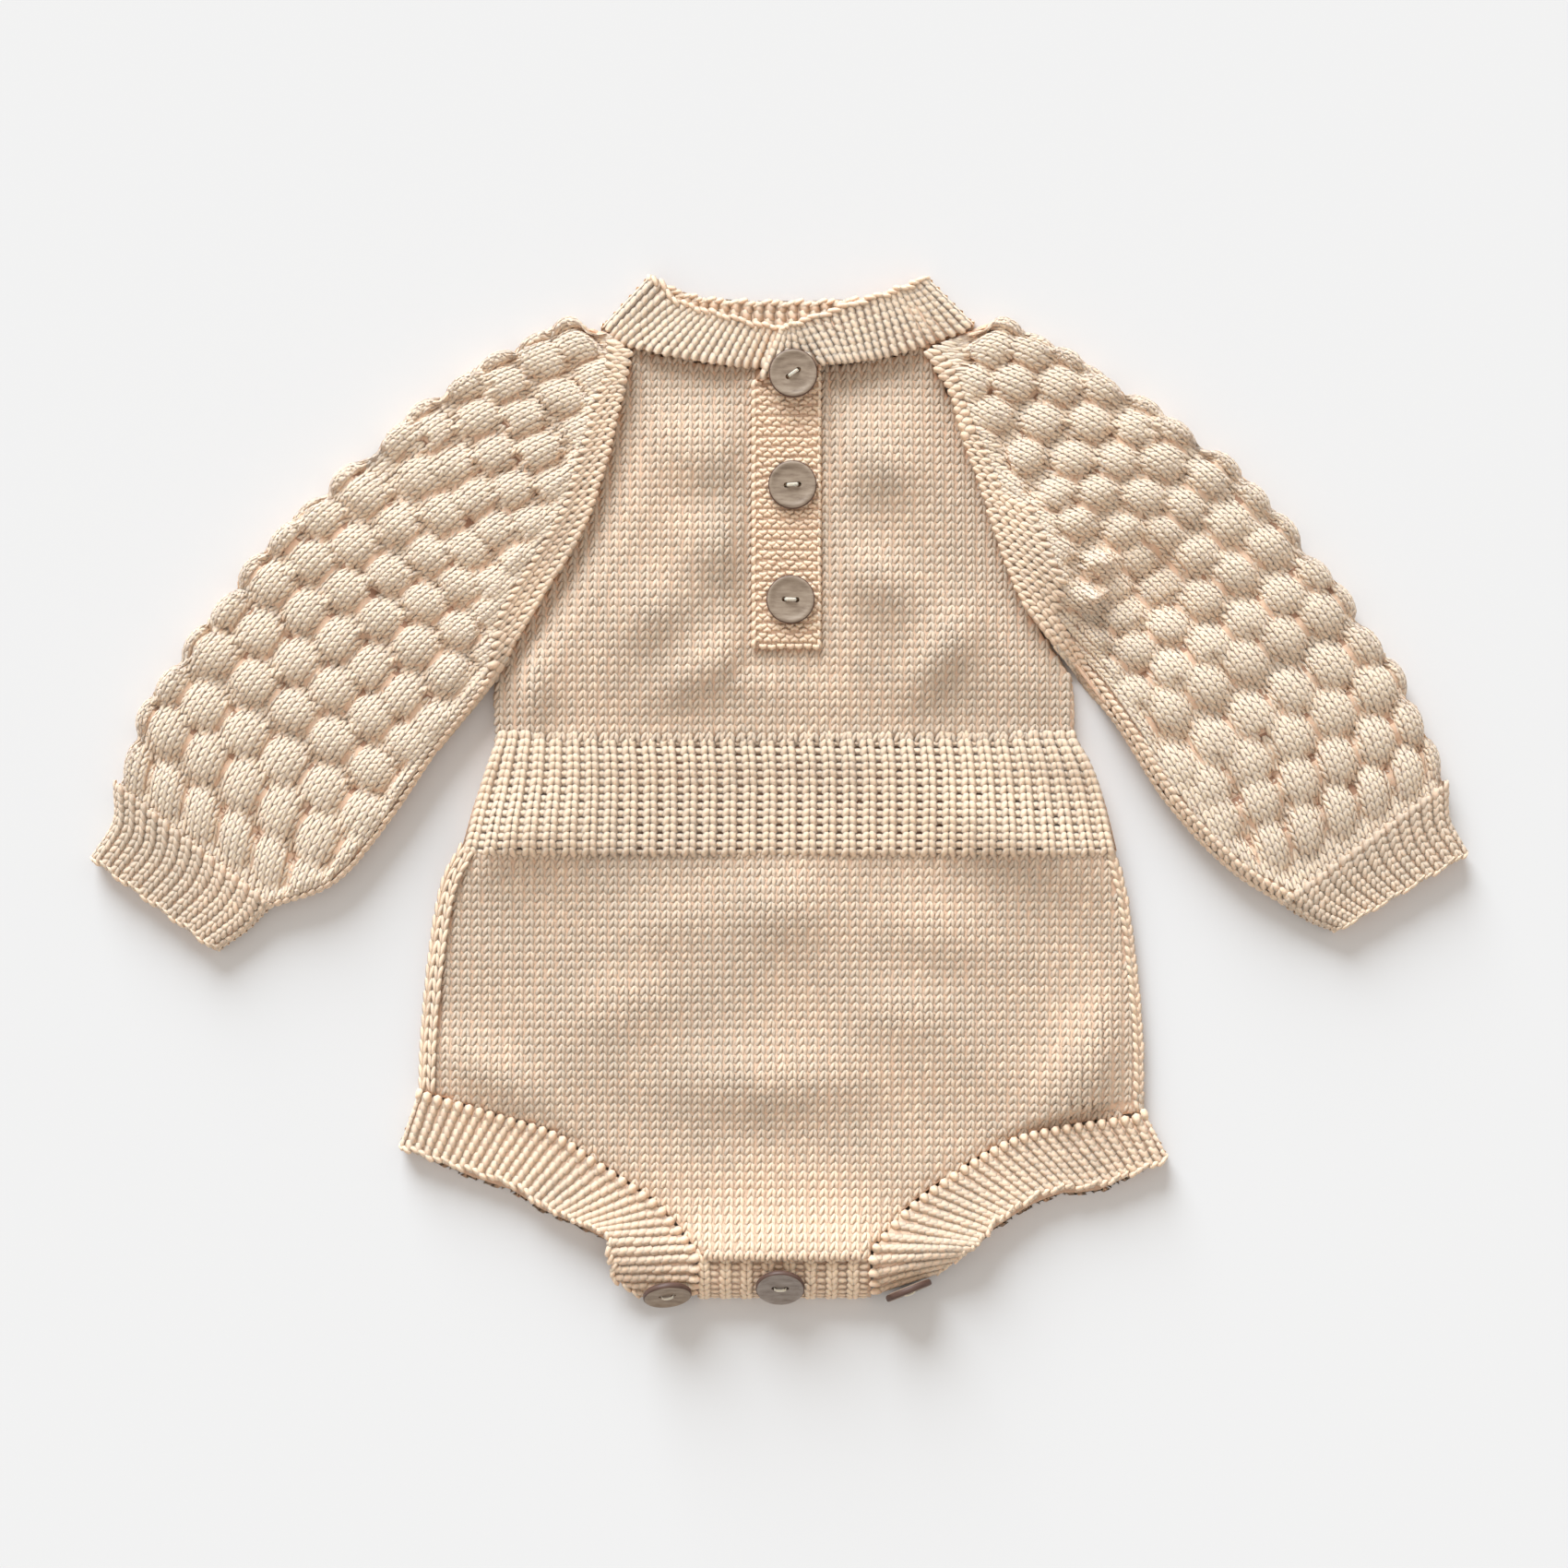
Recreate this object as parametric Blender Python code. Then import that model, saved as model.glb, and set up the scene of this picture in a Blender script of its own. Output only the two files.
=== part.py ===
"""Hand-knitted baby romper, lying flat on its back with its front up.

The model is in metres, +Z up, +Y towards the neck, and its origin is at the middle of its
underside. Every piece of cloth is a closed wall between two grids of points. The tables below hold
the garment's sizes in millimetres, a row for each section, and refine() adds the smooth rows
between them. Left and right are as seen from above.
"""

from collections import namedtuple
from math import cos, pi, radians, sin, sqrt

import bmesh
import bpy
import numpy as np

MM = 0.001

# Thickness of each kind of cloth, and the gap left at a seam
PLAIN = 2.6
RIB = 3.6
GARTER = 2.8
SEAM = 0.3

# Height of the front layer's underside, above a back layer of the same cloth
FRONT_PLAIN = PLAIN + SEAM
FRONT_RIB = RIB + SEAM

# Lower body, waist and bodice: each row runs across the garment, from its left edge to its right
# edge. dip is how far the row's middle hangs below its ends. edge and crown are how far the front
# layer rises off the back one at the row's ends, and how much more in its middle.
Row = namedtuple("Row", "left_x left_y right_x right_y dip edge crown")

LOWER_BODY = (
    Row(-118.5, -22.6, 123.6, -22.6, 0.0, 0.0, 0.8),
    Row(-124.8, -36.0, 127.5, -36.0, 0.0, 0.0, 1.6),
    Row(-129.2, -62.0, 131.2, -60.0, 0.0, 0.0, 2.0),
    Row(-131.8, -90.0, 134.0, -92.0, 0.0, 0.0, 1.8),
    Row(-132.6, -110.5, 134.2, -118.0, 0.0, 0.0, 1.5),
    Row(-100.6, -120.2, 100.3, -124.3, 0.0, 0.6, 1.2),
    Row(-83.2, -125.8, 86.0, -128.2, 0.0, 1.0, 1.2),
    Row(-69.0, -135.3, 74.0, -134.5, 0.0, 1.6, 1.2),
    Row(-47.3, -149.8, 55.0, -147.0, 0.0, 2.8, 0.8),
    Row(-38.0, -159.2, 44.0, -156.4, 0.0, 4.4, 0.6),
    Row(-33.4, -165.0, 36.8, -164.4, 0.0, 6.8, 0.5),
    Row(-30.0, -169.4, 33.6, -169.4, 0.0, 9.0, 0.3),
)
HIP_ROW = 4
LAST_BACK_ROW = 9
WAIST_RIB = (
    Row(-103.6, 19.4, 108.8, 19.4, 0.0, 0.0, 0.2),
    Row(-108.2, 8.0, 115.6, 8.0, 0.0, 0.0, 0.5),
    Row(-113.0, -6.0, 120.6, -6.0, 0.0, 0.0, 0.9),
    Row(-117.4, -22.0, 124.4, -22.0, 0.0, 0.0, 1.5),
)
BODICE = (
    Row(-103.8, 19.9, 108.8, 19.9, 0.0, 0.0, 0.4),
    Row(-105.2, 38.0, 107.8, 40.0, 0.0, 0.0, 1.2),
    Row(-97.9, 56.0, 99.4, 54.6, 0.0, 0.0, 1.4),
    Row(-84.6, 77.0, 87.4, 76.0, 0.0, 0.0, 1.2),
    Row(-74.2, 95.5, 80.8, 95.5, 0.0, 0.0, 1.0),
    Row(-66.4, 116.5, 74.0, 116.5, 2.0, 0.0, 0.8),
    Row(-60.4, 139.0, 66.0, 139.0, 4.6, 0.0, 0.5),
    Row(-54.6, 162.9, 53.8, 162.9, 7.4, 0.0, 0.2),
)

# Largest soft swells (+) and hollows (-) of the front layer
Fold = namedtuple("Fold", "x y length width turn_deg height")

BODY_FOLDS = (
    Fold(-62.0, -92.0, 46.0, 17.0, 24.0, 1.6),
    Fold(66.0, -98.0, 44.0, 16.0, -20.0, 1.5),
    Fold(4.0, -112.0, 52.0, 15.0, 0.0, -1.3),
    Fold(-6.0, -56.0, 60.0, 18.0, 4.0, 1.0),
)
BODICE_FOLDS = (
    Fold(-46.0, 68.0, 30.0, 13.0, 40.0, 1.4),
    Fold(58.0, 62.0, 34.0, 13.0, -32.0, 1.3),
    Fold(-80.0, 42.0, 26.0, 9.0, 66.0, -1.0),
    Fold(84.0, 46.0, 26.0, 9.0, -64.0, -1.0),
    Fold(40.0, 112.0, 26.0, 16.0, -70.0, 0.9),
)

# Placket: the split in the front bodice, and the bands that lap in it
SLOT_LEFT = -8.5
SLOT_RIGHT = 15.3
SLOT_FOOT_ROW = 2  # of BODICE
UNDER_FOOT = 56.0
UNDER_HEAD = 155.0
OVER_FOOT = 52.6
OVER_HEAD_LEFT = 150.4
OVER_HEAD_RIGHT = 156.0
OVER_LAP = 1.0

# Sleeves, from the neck to the cuff: each row runs across the sleeve, from the fold along its
# outer side to the raglan or underarm seam. closed is 0 where the two layers end flat at the
# raglan and 1 where they meet in a tube's underarm seam.
Section = namedtuple("Section", "outer_x outer_y inner_x inner_y height closed")

LEFT_SLEEVE = (
    Section(-66.4, 170.4, -57.0, 163.0, 7.6, 0.0),
    Section(-77.5, 175.4, -59.0, 150.0, 9.5, 0.0),
    Section(-92.0, 168.6, -62.6, 134.4, 11.0, 0.0),
    Section(-108.8, 160.0, -67.2, 117.2, 12.0, 0.0),
    Section(-128.0, 147.6, -75.2, 95.6, 13.0, 0.0),
    Section(-158.8, 121.7, -93.0, 66.4, 13.5, 0.0),
    Section(-189.4, 92.6, -106.5, 40.6, 13.5, 0.6),
    Section(-210.5, 66.8, -126.6, 14.8, 13.5, 1.0),
    Section(-229.5, 41.4, -143.1, -9.5, 13.0, 1.0),
    Section(-240.0, 21.4, -163.6, -33.2, 12.0, 1.0),
    Section(-245.0, 1.6, -188.2, -42.6, 10.4, 1.0),
)
RIGHT_SLEEVE = (
    Section(72.4, 171.0, 56.0, 162.4, 7.6, 0.0),
    Section(81.6, 175.6, 63.6, 150.0, 9.5, 0.0),
    Section(95.2, 169.4, 68.2, 134.4, 11.0, 0.0),
    Section(110.6, 161.2, 74.6, 117.2, 12.0, 0.0),
    Section(133.4, 146.6, 81.6, 95.6, 13.0, 0.0),
    Section(165.0, 124.6, 92.2, 69.6, 13.5, 0.0),
    Section(195.5, 91.8, 108.8, 46.0, 13.5, 0.6),
    Section(214.0, 67.6, 124.6, 24.4, 13.5, 1.0),
    Section(230.2, 44.2, 142.8, -4.0, 13.0, 1.0),
    Section(241.4, 19.6, 165.0, -27.8, 12.0, 1.0),
    Section(246.2, 1.8, 186.2, -41.6, 10.4, 1.0),
)
LEFT_CUFF = (
    Section(-245.0, 1.0, -188.8, -43.2, 9.8, 1.0),
    Section(-245.4, -11.0, -196.0, -50.6, 8.8, 1.0),
    Section(-253.6, -24.1, -207.1, -58.5, 8.4, 1.0),
)
RIGHT_CUFF = (
    Section(246.3, 1.2, 186.8, -42.2, 9.8, 1.0),
    Section(247.0, -10.0, 195.4, -47.6, 8.8, 1.0),
    Section(253.6, -22.4, 204.8, -51.4, 8.4, 1.0),
)
RAGLAN_RISE = 15.0  # width of the slope from the raglan seam up to the full height
TUBE_GAP = 0.9  # between the two layers inside a flattened tube
TUBE_EDGE = 4.4  # thickness of a tube's wall at its two edges
SEAM_SWELL = 0.8  # of the bubbles' reach at the raglan, over a plain edge

# Leg bands, picked up along the lower body from its hip row down: the band's free edge beside
# each row's end, and how high its upper face is there. After those come the lower ends of the
# band, beside the crotch band.
Rim = namedtuple("Rim", "x y z")
Station = namedtuple("Station", "rim_x rim_y root_x root_y rim_z root_z")

LEFT_LEG_FRONT = (
    Rim(-139.8, -130.6, 7.5),
    Rim(-112.6, -139.8, 7.7),
    Rim(-98.0, -144.6, 8.2),
    Rim(-87.4, -151.8, 9.2),
    Rim(-73.0, -158.4, 10.4),
    Rim(-65.0, -161.4, 11.6),
    Rim(-62.4, -166.0, 12.2),
    Rim(-61.6, -171.6, 11.4),
)
LEFT_LEG_END = (
    Station(-60.4, -179.0, -30.8, -178.8, 8.8, 12.9),
    Station(-51.6, -186.6, -31.8, -185.4, 5.4, 7.4),
)
RIGHT_LEG_FRONT = (
    Rim(143.0, -134.9, 7.5),
    Rim(117.6, -144.4, 7.7),
    Rim(104.0, -145.6, 8.2),
    Rim(93.0, -149.2, 9.2),
    Rim(80.0, -157.6, 10.4),
    Rim(74.0, -164.0, 11.6),
    Rim(71.4, -166.4, 12.2),
    Rim(68.6, -169.0, 11.6),
)
RIGHT_LEG_END = (
    Station(64.2, -172.6, 34.4, -178.2, 9.6, 13.2),
    Station(58.0, -177.8, 35.4, -185.4, 6.6, 7.4),
)
LEFT_LEG_BACK = (
    Rim(-140.2, -131.6, RIB),
    Rim(-113.6, -142.4, RIB),
    Rim(-98.8, -147.2, RIB),
    Rim(-88.2, -154.2, RIB),
    Rim(-73.6, -160.6, RIB),
    Rim(-64.0, -165.6, RIB),
)
RIGHT_LEG_BACK = (
    Rim(143.6, -136.6, RIB),
    Rim(118.2, -147.2, RIB),
    Rim(104.8, -148.4, RIB),
    Rim(93.8, -152.4, RIB),
    Rim(80.8, -160.4, RIB),
    Rim(70.6, -168.0, RIB),
)
PICK_UP = 0.8  # from a panel's edge to the band picked up on it

# Neckband, from its upper end at the placket, round the neck to its under end. rim is the free
# edge, root the edge on the body, rim_z and root_z the height of the band's upper face there.
NECK_RIGHT_FRONT = (
    Station(1.0, 170.0, -8.5, 151.2, 11.7, 11.6),
    Station(8.0, 172.2, 16.2, 156.8, 11.6, 11.5),
    Station(22.0, 177.4, 28.0, 158.2, 9.0, 9.0),
    Station(38.0, 182.6, 44.0, 161.2, 7.8, 7.7),
    Station(54.2, 190.0, 71.4, 172.8, 7.5, 7.5),
)
NECK_BACK = (
    Station(54.2, 190.0, 71.4, 172.8, RIB, RIB),
    Station(45.2, 184.4, 54.6, 163.9, RIB, RIB),
    Station(28.0, 181.0, 34.0, 159.2, RIB, RIB),
    Station(0.0, 180.0, 0.0, 156.2, RIB, RIB),
    Station(-25.0, 181.0, -30.0, 158.4, RIB, RIB),
    Station(-38.0, 184.0, -55.2, 163.9, RIB, RIB),
    Station(-47.9, 190.2, -65.2, 171.8, RIB, RIB),
)
NECK_LEFT_FRONT = (
    Station(-47.9, 190.2, -65.2, 171.8, 7.5, 7.5),
    Station(-36.6, 179.8, -55.0, 163.9, 7.5, 7.5),
    Station(-18.0, 174.2, -28.0, 158.2, 7.5, 7.5),
    Station(-3.0, 171.0, -9.0, 156.3, 7.4, 7.4),
    Station(9.0, 171.0, 11.0, 156.4, 7.4, 7.4),
)
BAND_SHARES = (0.0, 0.35, 0.7, 1.0)  # of the way from rim to root

# Crotch: the front band rolls over the lower fold, and the back band laps inside it
CROTCH_TOP = 15.0
ROLL_START = -169.8
ROLL_REACH = 17.4
ROLL_FOOT = 1.6
ROLL_TURN_DEG = 96.0
CROTCH_LEFT = -29.6
CROTCH_RIGHT = 33.2
FLARE = 0.8  # how far each side of the crotch bands widens down the roll
LAP_HEAD = -158.0
LAP_HEAD_TOP = 6.7
BACK_HEAD = -159.6

# Buttons
BUTTON_RADIUS = 8.9
BUTTON_THICK = 2.7
BUTTON_BEVEL = 0.7
BUTTON_SIDES = 24
HOLE_RADIUS = 0.95
HOLE_OFFSET = 2.3
HOLE_SIDES = 10

Button = namedtuple("Button", "name x y z tilt_deg lean_deg turn_deg")

BUTTONS = (
    Button("neck_button_1", 5.1, 153.2, 13.4, 0.0, 0.0, 35.0),
    Button("neck_button_2", 4.8, 112.5, 11.4, 0.0, 0.0, 4.0),
    Button("neck_button_3", 4.1, 70.4, 11.7, 0.0, 0.0, -3.0),
    Button("left_crotch_button", -41.1, -184.5, 12.9, 57.0, 0.0, 8.0),
    Button("middle_crotch_button", 0.3, -181.6, 14.0, 42.0, 0.0, 0.0),
    Button("right_crotch_button", 47.5, -183.4, 9.2, 80.0, 0.0, 22.0),
)


def refine(table, steps, corner=None):
    """The table's rows, with steps - 1 more between each pair on a Catmull-Rom curve. The curve
    turns sharply at the row that corner counts to."""
    if corner is not None:
        above = refine(table[: corner + 1], steps)
        return np.vstack([above[:-1], refine(table[corner:], steps)])
    rows = np.array(table, float)
    ends = np.vstack([2 * rows[0] - rows[1], rows, 2 * rows[-1] - rows[-2]])
    made = []
    for before, start, stop, after in zip(ends, ends[1:], ends[2:], ends[3:]):
        slope = stop - before
        bend = 2 * before - 5 * start + 4 * stop - after
        twist = 3 * start - before - 3 * stop + after
        for t in np.arange(steps) / steps:
            made.append(start + 0.5 * (slope * t + bend * t**2 + twist * t**3))
    made.append(rows[-1])
    return np.array(made)


def smoothstep(share):
    share = np.clip(share, 0.0, 1.0)
    return share * share * (3.0 - 2.0 * share)


def swell(folds, x, y):
    """How far the folds lift the cloth at x, y."""
    lift = np.zeros_like(x)
    for fold in folds:
        turn = radians(fold.turn_deg)
        along = (x - fold.x) * cos(turn) + (y - fold.y) * sin(turn)
        beside = (y - fold.y) * cos(turn) - (x - fold.x) * sin(turn)
        lift += fold.height * np.exp(-((along / fold.length) ** 2) - (beside / fold.width) ** 2)
    return lift


def material(name, colour, roughness):
    made = bpy.data.materials.new(name)
    made.use_nodes = True
    shader = made.node_tree.nodes["Principled BSDF"]
    shader.inputs["Base Color"].default_value = (*colour, 1.0)
    shader.inputs["Roughness"].default_value = roughness
    shader.inputs["Metallic"].default_value = 0.0
    made.diffuse_color = (*colour, 1.0)
    return made


def new_object(name, mesh, finish):
    made = bpy.data.objects.new(name, mesh)
    bpy.context.scene.collection.objects.link(made)
    mesh.materials.append(finish)
    mesh.shade_smooth()
    mesh.set_sharp_from_angle(angle=radians(40))
    return made


def cloth(name, outer, inner, finish, left_out=None):
    """A closed wall between two grids of points in millimetres. left_out(row, column) says which
    cells of the grid are open."""
    rows, columns = outer.shape[:2]
    count = rows * columns
    points = np.concatenate([outer.reshape(-1, 3), inner.reshape(-1, 3)]) * MM
    cells = []
    for r in range(rows - 1):
        for c in range(columns - 1):
            if left_out is None or not left_out(r, c):
                first = r * columns + c
                cells.append((first, first + 1, first + columns + 1, first + columns))
    edges = {(cell[i], cell[(i + 1) % 4]) for cell in cells for i in range(4)}
    rim = [(a, b) for a, b in edges if (b, a) not in edges]
    faces = list(cells)
    faces += [tuple(corner + count for corner in reversed(cell)) for cell in cells]
    faces += [(b, a, a + count, b + count) for a, b in sorted(rim)]
    mesh = bpy.data.meshes.new(name)
    mesh.from_pydata(points.tolist(), [], faces)
    shape = bmesh.new()
    shape.from_mesh(mesh)
    loose = [v for v in shape.verts if not v.link_faces]
    bmesh.ops.delete(shape, geom=loose, context="VERTS")
    if shape.calc_volume(signed=True) < 0.0:
        bmesh.ops.reverse_faces(shape, faces=shape.faces)
    shape.to_mesh(mesh)
    shape.free()
    return new_object(name, mesh, finish)


def across(row, x):
    """y along one row of a panel, at each x."""
    row = Row(*row)
    share = (x - row.left_x) / (row.right_x - row.left_x)
    middle = 1.0 - (2.0 * share - 1.0) ** 2
    return row.left_y + share * (row.right_y - row.left_y) - row.dip * middle


def lift_at(table, folds, x, y):
    """How far the front layer rises off the back one at x, y."""
    rows = sorted(table, key=lambda row: row.left_y + row.right_y)
    level = [0.5 * (row.left_y + row.right_y) for row in rows]
    left, right, edge, crown = (
        np.interp(y, level, [getattr(row, column) for row in rows])
        for column in ("left_x", "right_x", "edge", "crown")
    )
    share = np.clip((x - left) / (right - left), 0.0, 1.0)
    middle = 1.0 - (2.0 * share - 1.0) ** 2
    lift = edge + crown * (1.0 - (1.0 - middle) ** 2) + swell(folds, x, y) * smoothstep(4.0 * middle)
    return np.maximum(lift, 0.0)


def even_columns(count):
    return lambda row: np.linspace(row[0], row[2], count + 1)


def slot_columns(count):
    """Columns that follow both edges of the placket's split."""

    def columns(row):
        left = np.linspace(row[0], SLOT_LEFT, count + 1)
        right = np.linspace(SLOT_RIGHT, row[2], count + 1)
        return np.concatenate([left, right])

    return columns


def plan_points(table, steps, columns, corner=None):
    """x and y of every point of a panel."""
    grid = []
    for row in refine(table, steps, corner):
        x = columns(row)
        grid.append(np.stack([x, across(row, x)], axis=-1))
    return np.array(grid)


def raised(plan, height):
    return np.concatenate([plan, np.broadcast_to(height, plan.shape[:2])[..., None]], axis=-1)


def back_panel(name, table, steps, columns, thickness, finish, corner=None):
    """A panel that lies flat on the ground."""
    plan = plan_points(table, steps, columns, corner)
    return cloth(name, raised(plan, thickness), raised(plan, 0.0), finish)


def front_panel(
    name, table, steps, columns, base, thickness, finish, folds=(), corner=None, left_out=None
):
    """A panel that lies on the back one, with its crown and folds."""
    plan = plan_points(table, steps, columns, corner)
    lower = base + lift_at(table, folds, plan[..., 0], plan[..., 1])
    return cloth(name, raised(plan, lower + thickness), raised(plan, lower), finish, left_out)


# Places across a flattened tube, as shares of its flat width from the seam, close together there
TUBE_SHARES = (0.0, 0.03, 0.08, 0.16, 0.28, 0.44, 0.62, 0.82)
SEAM_EDGE_SHARE = 0.62  # of the fold's radius: the most that the inner line starts from the seam


def tube_section(row, thickness):
    """Outer and inner line of a flattened tube's section: over the top from the seam to the fold,
    round the fold and back underneath."""
    row = Section(*row)
    closed = min(max(row.closed, 0.0), 1.0)
    inner_end = np.array([row.inner_x, row.inner_y])
    outer_end = np.array([row.outer_x, row.outer_y])
    width = float(np.linalg.norm(outer_end - inner_end))
    fold = 0.5 * row.height
    flat = width - fold
    reach = np.array(TUBE_SHARES) * flat
    turns = np.linspace(pi / 2, -pi / 2, 7)
    # Outer line
    round_edge = np.sqrt(1.0 - (1.0 - np.clip(reach / fold, 0.0, 1.0)) ** 2)
    slope = smoothstep(reach / RAGLAN_RISE)
    half_seam = 0.5 * SEAM
    tube_top = fold + half_seam + (fold - half_seam) * round_edge
    edge_top = FRONT_PLAIN + PLAIN + SEAM_SWELL * slope
    flat_top = edge_top + (row.height - edge_top) * slope
    top = flat_top + (tube_top - flat_top) * closed
    bottom = (fold - half_seam) * (1.0 - round_edge) * closed
    outer_q = np.concatenate([reach, flat + fold * np.cos(turns), reach[::-1]])
    outer_z = np.concatenate([top, fold + fold * np.sin(turns), bottom[::-1]])
    # Inner line
    seam_level = PLAIN + half_seam
    level = seam_level + (fold - seam_level) * np.maximum(slope, closed)
    half_gap = half_seam + (0.5 * TUBE_GAP - half_seam) * smoothstep(reach / RAGLAN_RISE)
    edge = min(thickness, SEAM_EDGE_SHARE * fold) * closed
    inside = edge + reach * (flat - edge) / flat
    inner_q = np.concatenate(
        [inside, flat + (fold - thickness * 0.5) * 0.5 * np.cos(turns), inside[::-1]]
    )
    inner_z = np.concatenate(
        [level + half_gap, fold + 0.5 * TUBE_GAP * np.sin(turns), (level - half_gap)[::-1]]
    )
    direction = (outer_end - inner_end) / width
    lines = []
    for q, z in ((outer_q, outer_z), (inner_q, inner_z)):
        plan = inner_end + q[:, None] * direction
        lines.append(np.column_stack([plan, z]))
    return lines


def flat_tube(name, table, steps, thickness, finish):
    sections = [tube_section(row, thickness) for row in refine(table, steps)]
    outer = np.array([section[0] for section in sections])
    inner = np.array([section[1] for section in sections])
    return cloth(name, outer, inner, finish)


def band_rows(table, steps, underside):
    """Outer and inner face of a band along one layer. The front layer's outer face is its upper
    one; the back layer lies face down, so underside is True there."""
    outer, inner = [], []
    for row in refine(table, steps):
        row = Station(*row)
        rim = np.array([row.rim_x, row.rim_y, row.rim_z])
        root = np.array([row.root_x, row.root_y, row.root_z])
        upper = np.array([rim + share * (root - rim) for share in BAND_SHARES])
        lower = upper - (0.0, 0.0, RIB)
        outer.append(lower if underside else upper)
        inner.append(upper if underside else lower)
    return outer, inner


def fold_rows(station, side):
    """Rows that carry a band round its fold, from the front layer down to the back layer."""
    rim = np.array([station.rim_x, station.rim_y])
    root = np.array([station.root_x, station.root_y])
    line = (root - rim) / np.linalg.norm(root - rim)
    normal = side * np.array([-line[1], line[0]])
    radius = 0.5 * (FRONT_RIB + RIB)
    outer, inner = [], []
    for turn in np.linspace(pi / 2, -pi / 2, 7)[1:-1]:
        for rows, bend in ((outer, radius), (inner, 0.5 * SEAM)):
            plan = np.array([rim + share * (root - rim) for share in BAND_SHARES])
            plan = plan + normal * bend * cos(turn)
            height = np.full((len(plan), 1), radius + bend * sin(turn))
            rows.append(np.hstack([plan, height]))
    return outer, inner


def join_rows(*parts):
    outer = np.array([row for part in parts for row in part[0]])
    inner = np.array([row for part in parts for row in part[1]])
    return outer, inner


def inset(station, side):
    """The station moved in by the fold's radius, so that the fold reaches the outline."""
    dx = station.root_x - station.rim_x
    dy = station.root_y - station.rim_y
    length = sqrt(dx * dx + dy * dy)
    back = 0.5 * (FRONT_RIB + RIB)
    move_x = side * dy / length * back
    move_y = -side * dx / length * back
    return station._replace(
        rim_x=station.rim_x + move_x,
        rim_y=station.rim_y + move_y,
        root_x=station.root_x + move_x,
        root_y=station.root_y + move_y,
    )


def leg_stations(rims, side):
    """The band's free edge with the end of each row of the lower body that it is picked up on."""
    stations = []
    for rim, row in zip(rims, LOWER_BODY[HIP_ROW:]):
        root = np.array([row.left_x, row.left_y] if side < 0 else [row.right_x, row.right_y])
        out = np.array([rim.x, rim.y]) - root
        root = root + PICK_UP * out / np.linalg.norm(out)
        root_z = max(FRONT_RIB + RIB, FRONT_PLAIN + PLAIN + row.edge + 0.4)
        stations.append(Station(rim.x, rim.y, *root, rim.z, root_z))
    return stations


def leg_band(name, front_rims, end, back_rims, side, finish):
    front = leg_stations(front_rims, side)
    back = [station._replace(root_z=RIB) for station in leg_stations(back_rims, side)]
    front[0] = inset(front[0], -side)
    back[0] = front[0]._replace(rim_z=RIB, root_z=RIB)
    grids = join_rows(
        band_rows((*reversed(end), *reversed(front)), 2, False),
        fold_rows(front[0], -side),
        band_rows(back, 2, True),
    )
    return cloth(name, *grids, finish)


def neckband(finish):
    right = inset(NECK_RIGHT_FRONT[-1], 1)
    left = inset(NECK_LEFT_FRONT[0], -1)
    low_right = right._replace(rim_z=RIB, root_z=RIB)
    low_left = left._replace(rim_z=RIB, root_z=RIB)
    left_fold = fold_rows(left, -1)
    grids = join_rows(
        band_rows((*NECK_RIGHT_FRONT[:-1], right), 2, False),
        fold_rows(right, 1),
        band_rows((low_right, *NECK_BACK[1:-1], low_left), 2, True),
        (left_fold[0][::-1], left_fold[1][::-1]),
        band_rows((left, *NECK_LEFT_FRONT[1:]), 2, False),
    )
    return cloth("neckband", *grids, finish)


def roll_line(turn_deg, depth):
    """A point on the crotch's roll, depth below its outer face, as y and z."""
    turn = radians(turn_deg)
    rise = CROTCH_TOP - ROLL_FOOT
    y = ROLL_START - (ROLL_REACH - depth) * sin(turn)
    z = ROLL_FOOT + (rise - depth) * cos(turn)
    return y, z


def crotch_wall(name, lines, count, finish):
    """A band whose section in Y and Z is given as pairs of outer and inner points."""
    outer, inner = [], []
    for outside, inside in lines:
        widen = FLARE * min(max((ROLL_START - outside[0]) / ROLL_REACH, 0.0), 1.0)
        x = np.linspace(CROTCH_LEFT - widen, CROTCH_RIGHT + widen, count + 1)
        outer.append([(column, *outside) for column in x])
        inner.append([(column, *inside) for column in x])
    return cloth(name, np.array(outer), np.array(inner), finish)


def front_crotch_band(finish):
    turns = np.linspace(0.0, ROLL_TURN_DEG, 9)
    lines = [(roll_line(turn, 0.0), roll_line(turn, RIB)) for turn in turns]
    return crotch_wall("front_crotch_band", lines, 8, finish)


def back_crotch_band(finish):
    """From its hidden head, down inside the front band, round the fold and back along the ground
    to the back panel."""
    outside = RIB + 2.0 * SEAM
    inside = outside + RIB
    lines = [((LAP_HEAD, LAP_HEAD_TOP), (LAP_HEAD, LAP_HEAD_TOP - RIB))]
    for turn in np.linspace(0.0, 90.0, 7):
        y, z = roll_line(turn, inside)
        lines.append((roll_line(turn, outside), (y, max(z, RIB + 0.3))))
    tip = ROLL_START - (ROLL_REACH - outside)
    lines.append(((tip + 0.6, 0.5), (tip + RIB + 1.0, RIB + 0.1)))
    lines.append(((tip + 2.2, 0.0), (tip + RIB + 2.4, RIB)))
    lines.append(((BACK_HEAD, 0.0), (BACK_HEAD, RIB)))
    return crotch_wall("back_crotch_band", lines, 6, finish)


def placket_band(name, left, right, foot, head_left, head_right, base, thickness, finish):
    """A garter-stitch band up the placket, on the form of the front bodice and base above it."""
    x, share = np.meshgrid(np.linspace(left, right, 4), np.linspace(0.0, 1.0, 12))
    head = head_left + (x - left) / (right - left) * (head_right - head_left)
    plan = np.stack([x, foot + share * (head - foot)], axis=-1)
    lower = base + lift_at(BODICE, BODICE_FOLDS, plan[..., 0], plan[..., 1])
    return cloth(name, raised(plan, lower + thickness), raised(plan, lower), finish)


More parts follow.
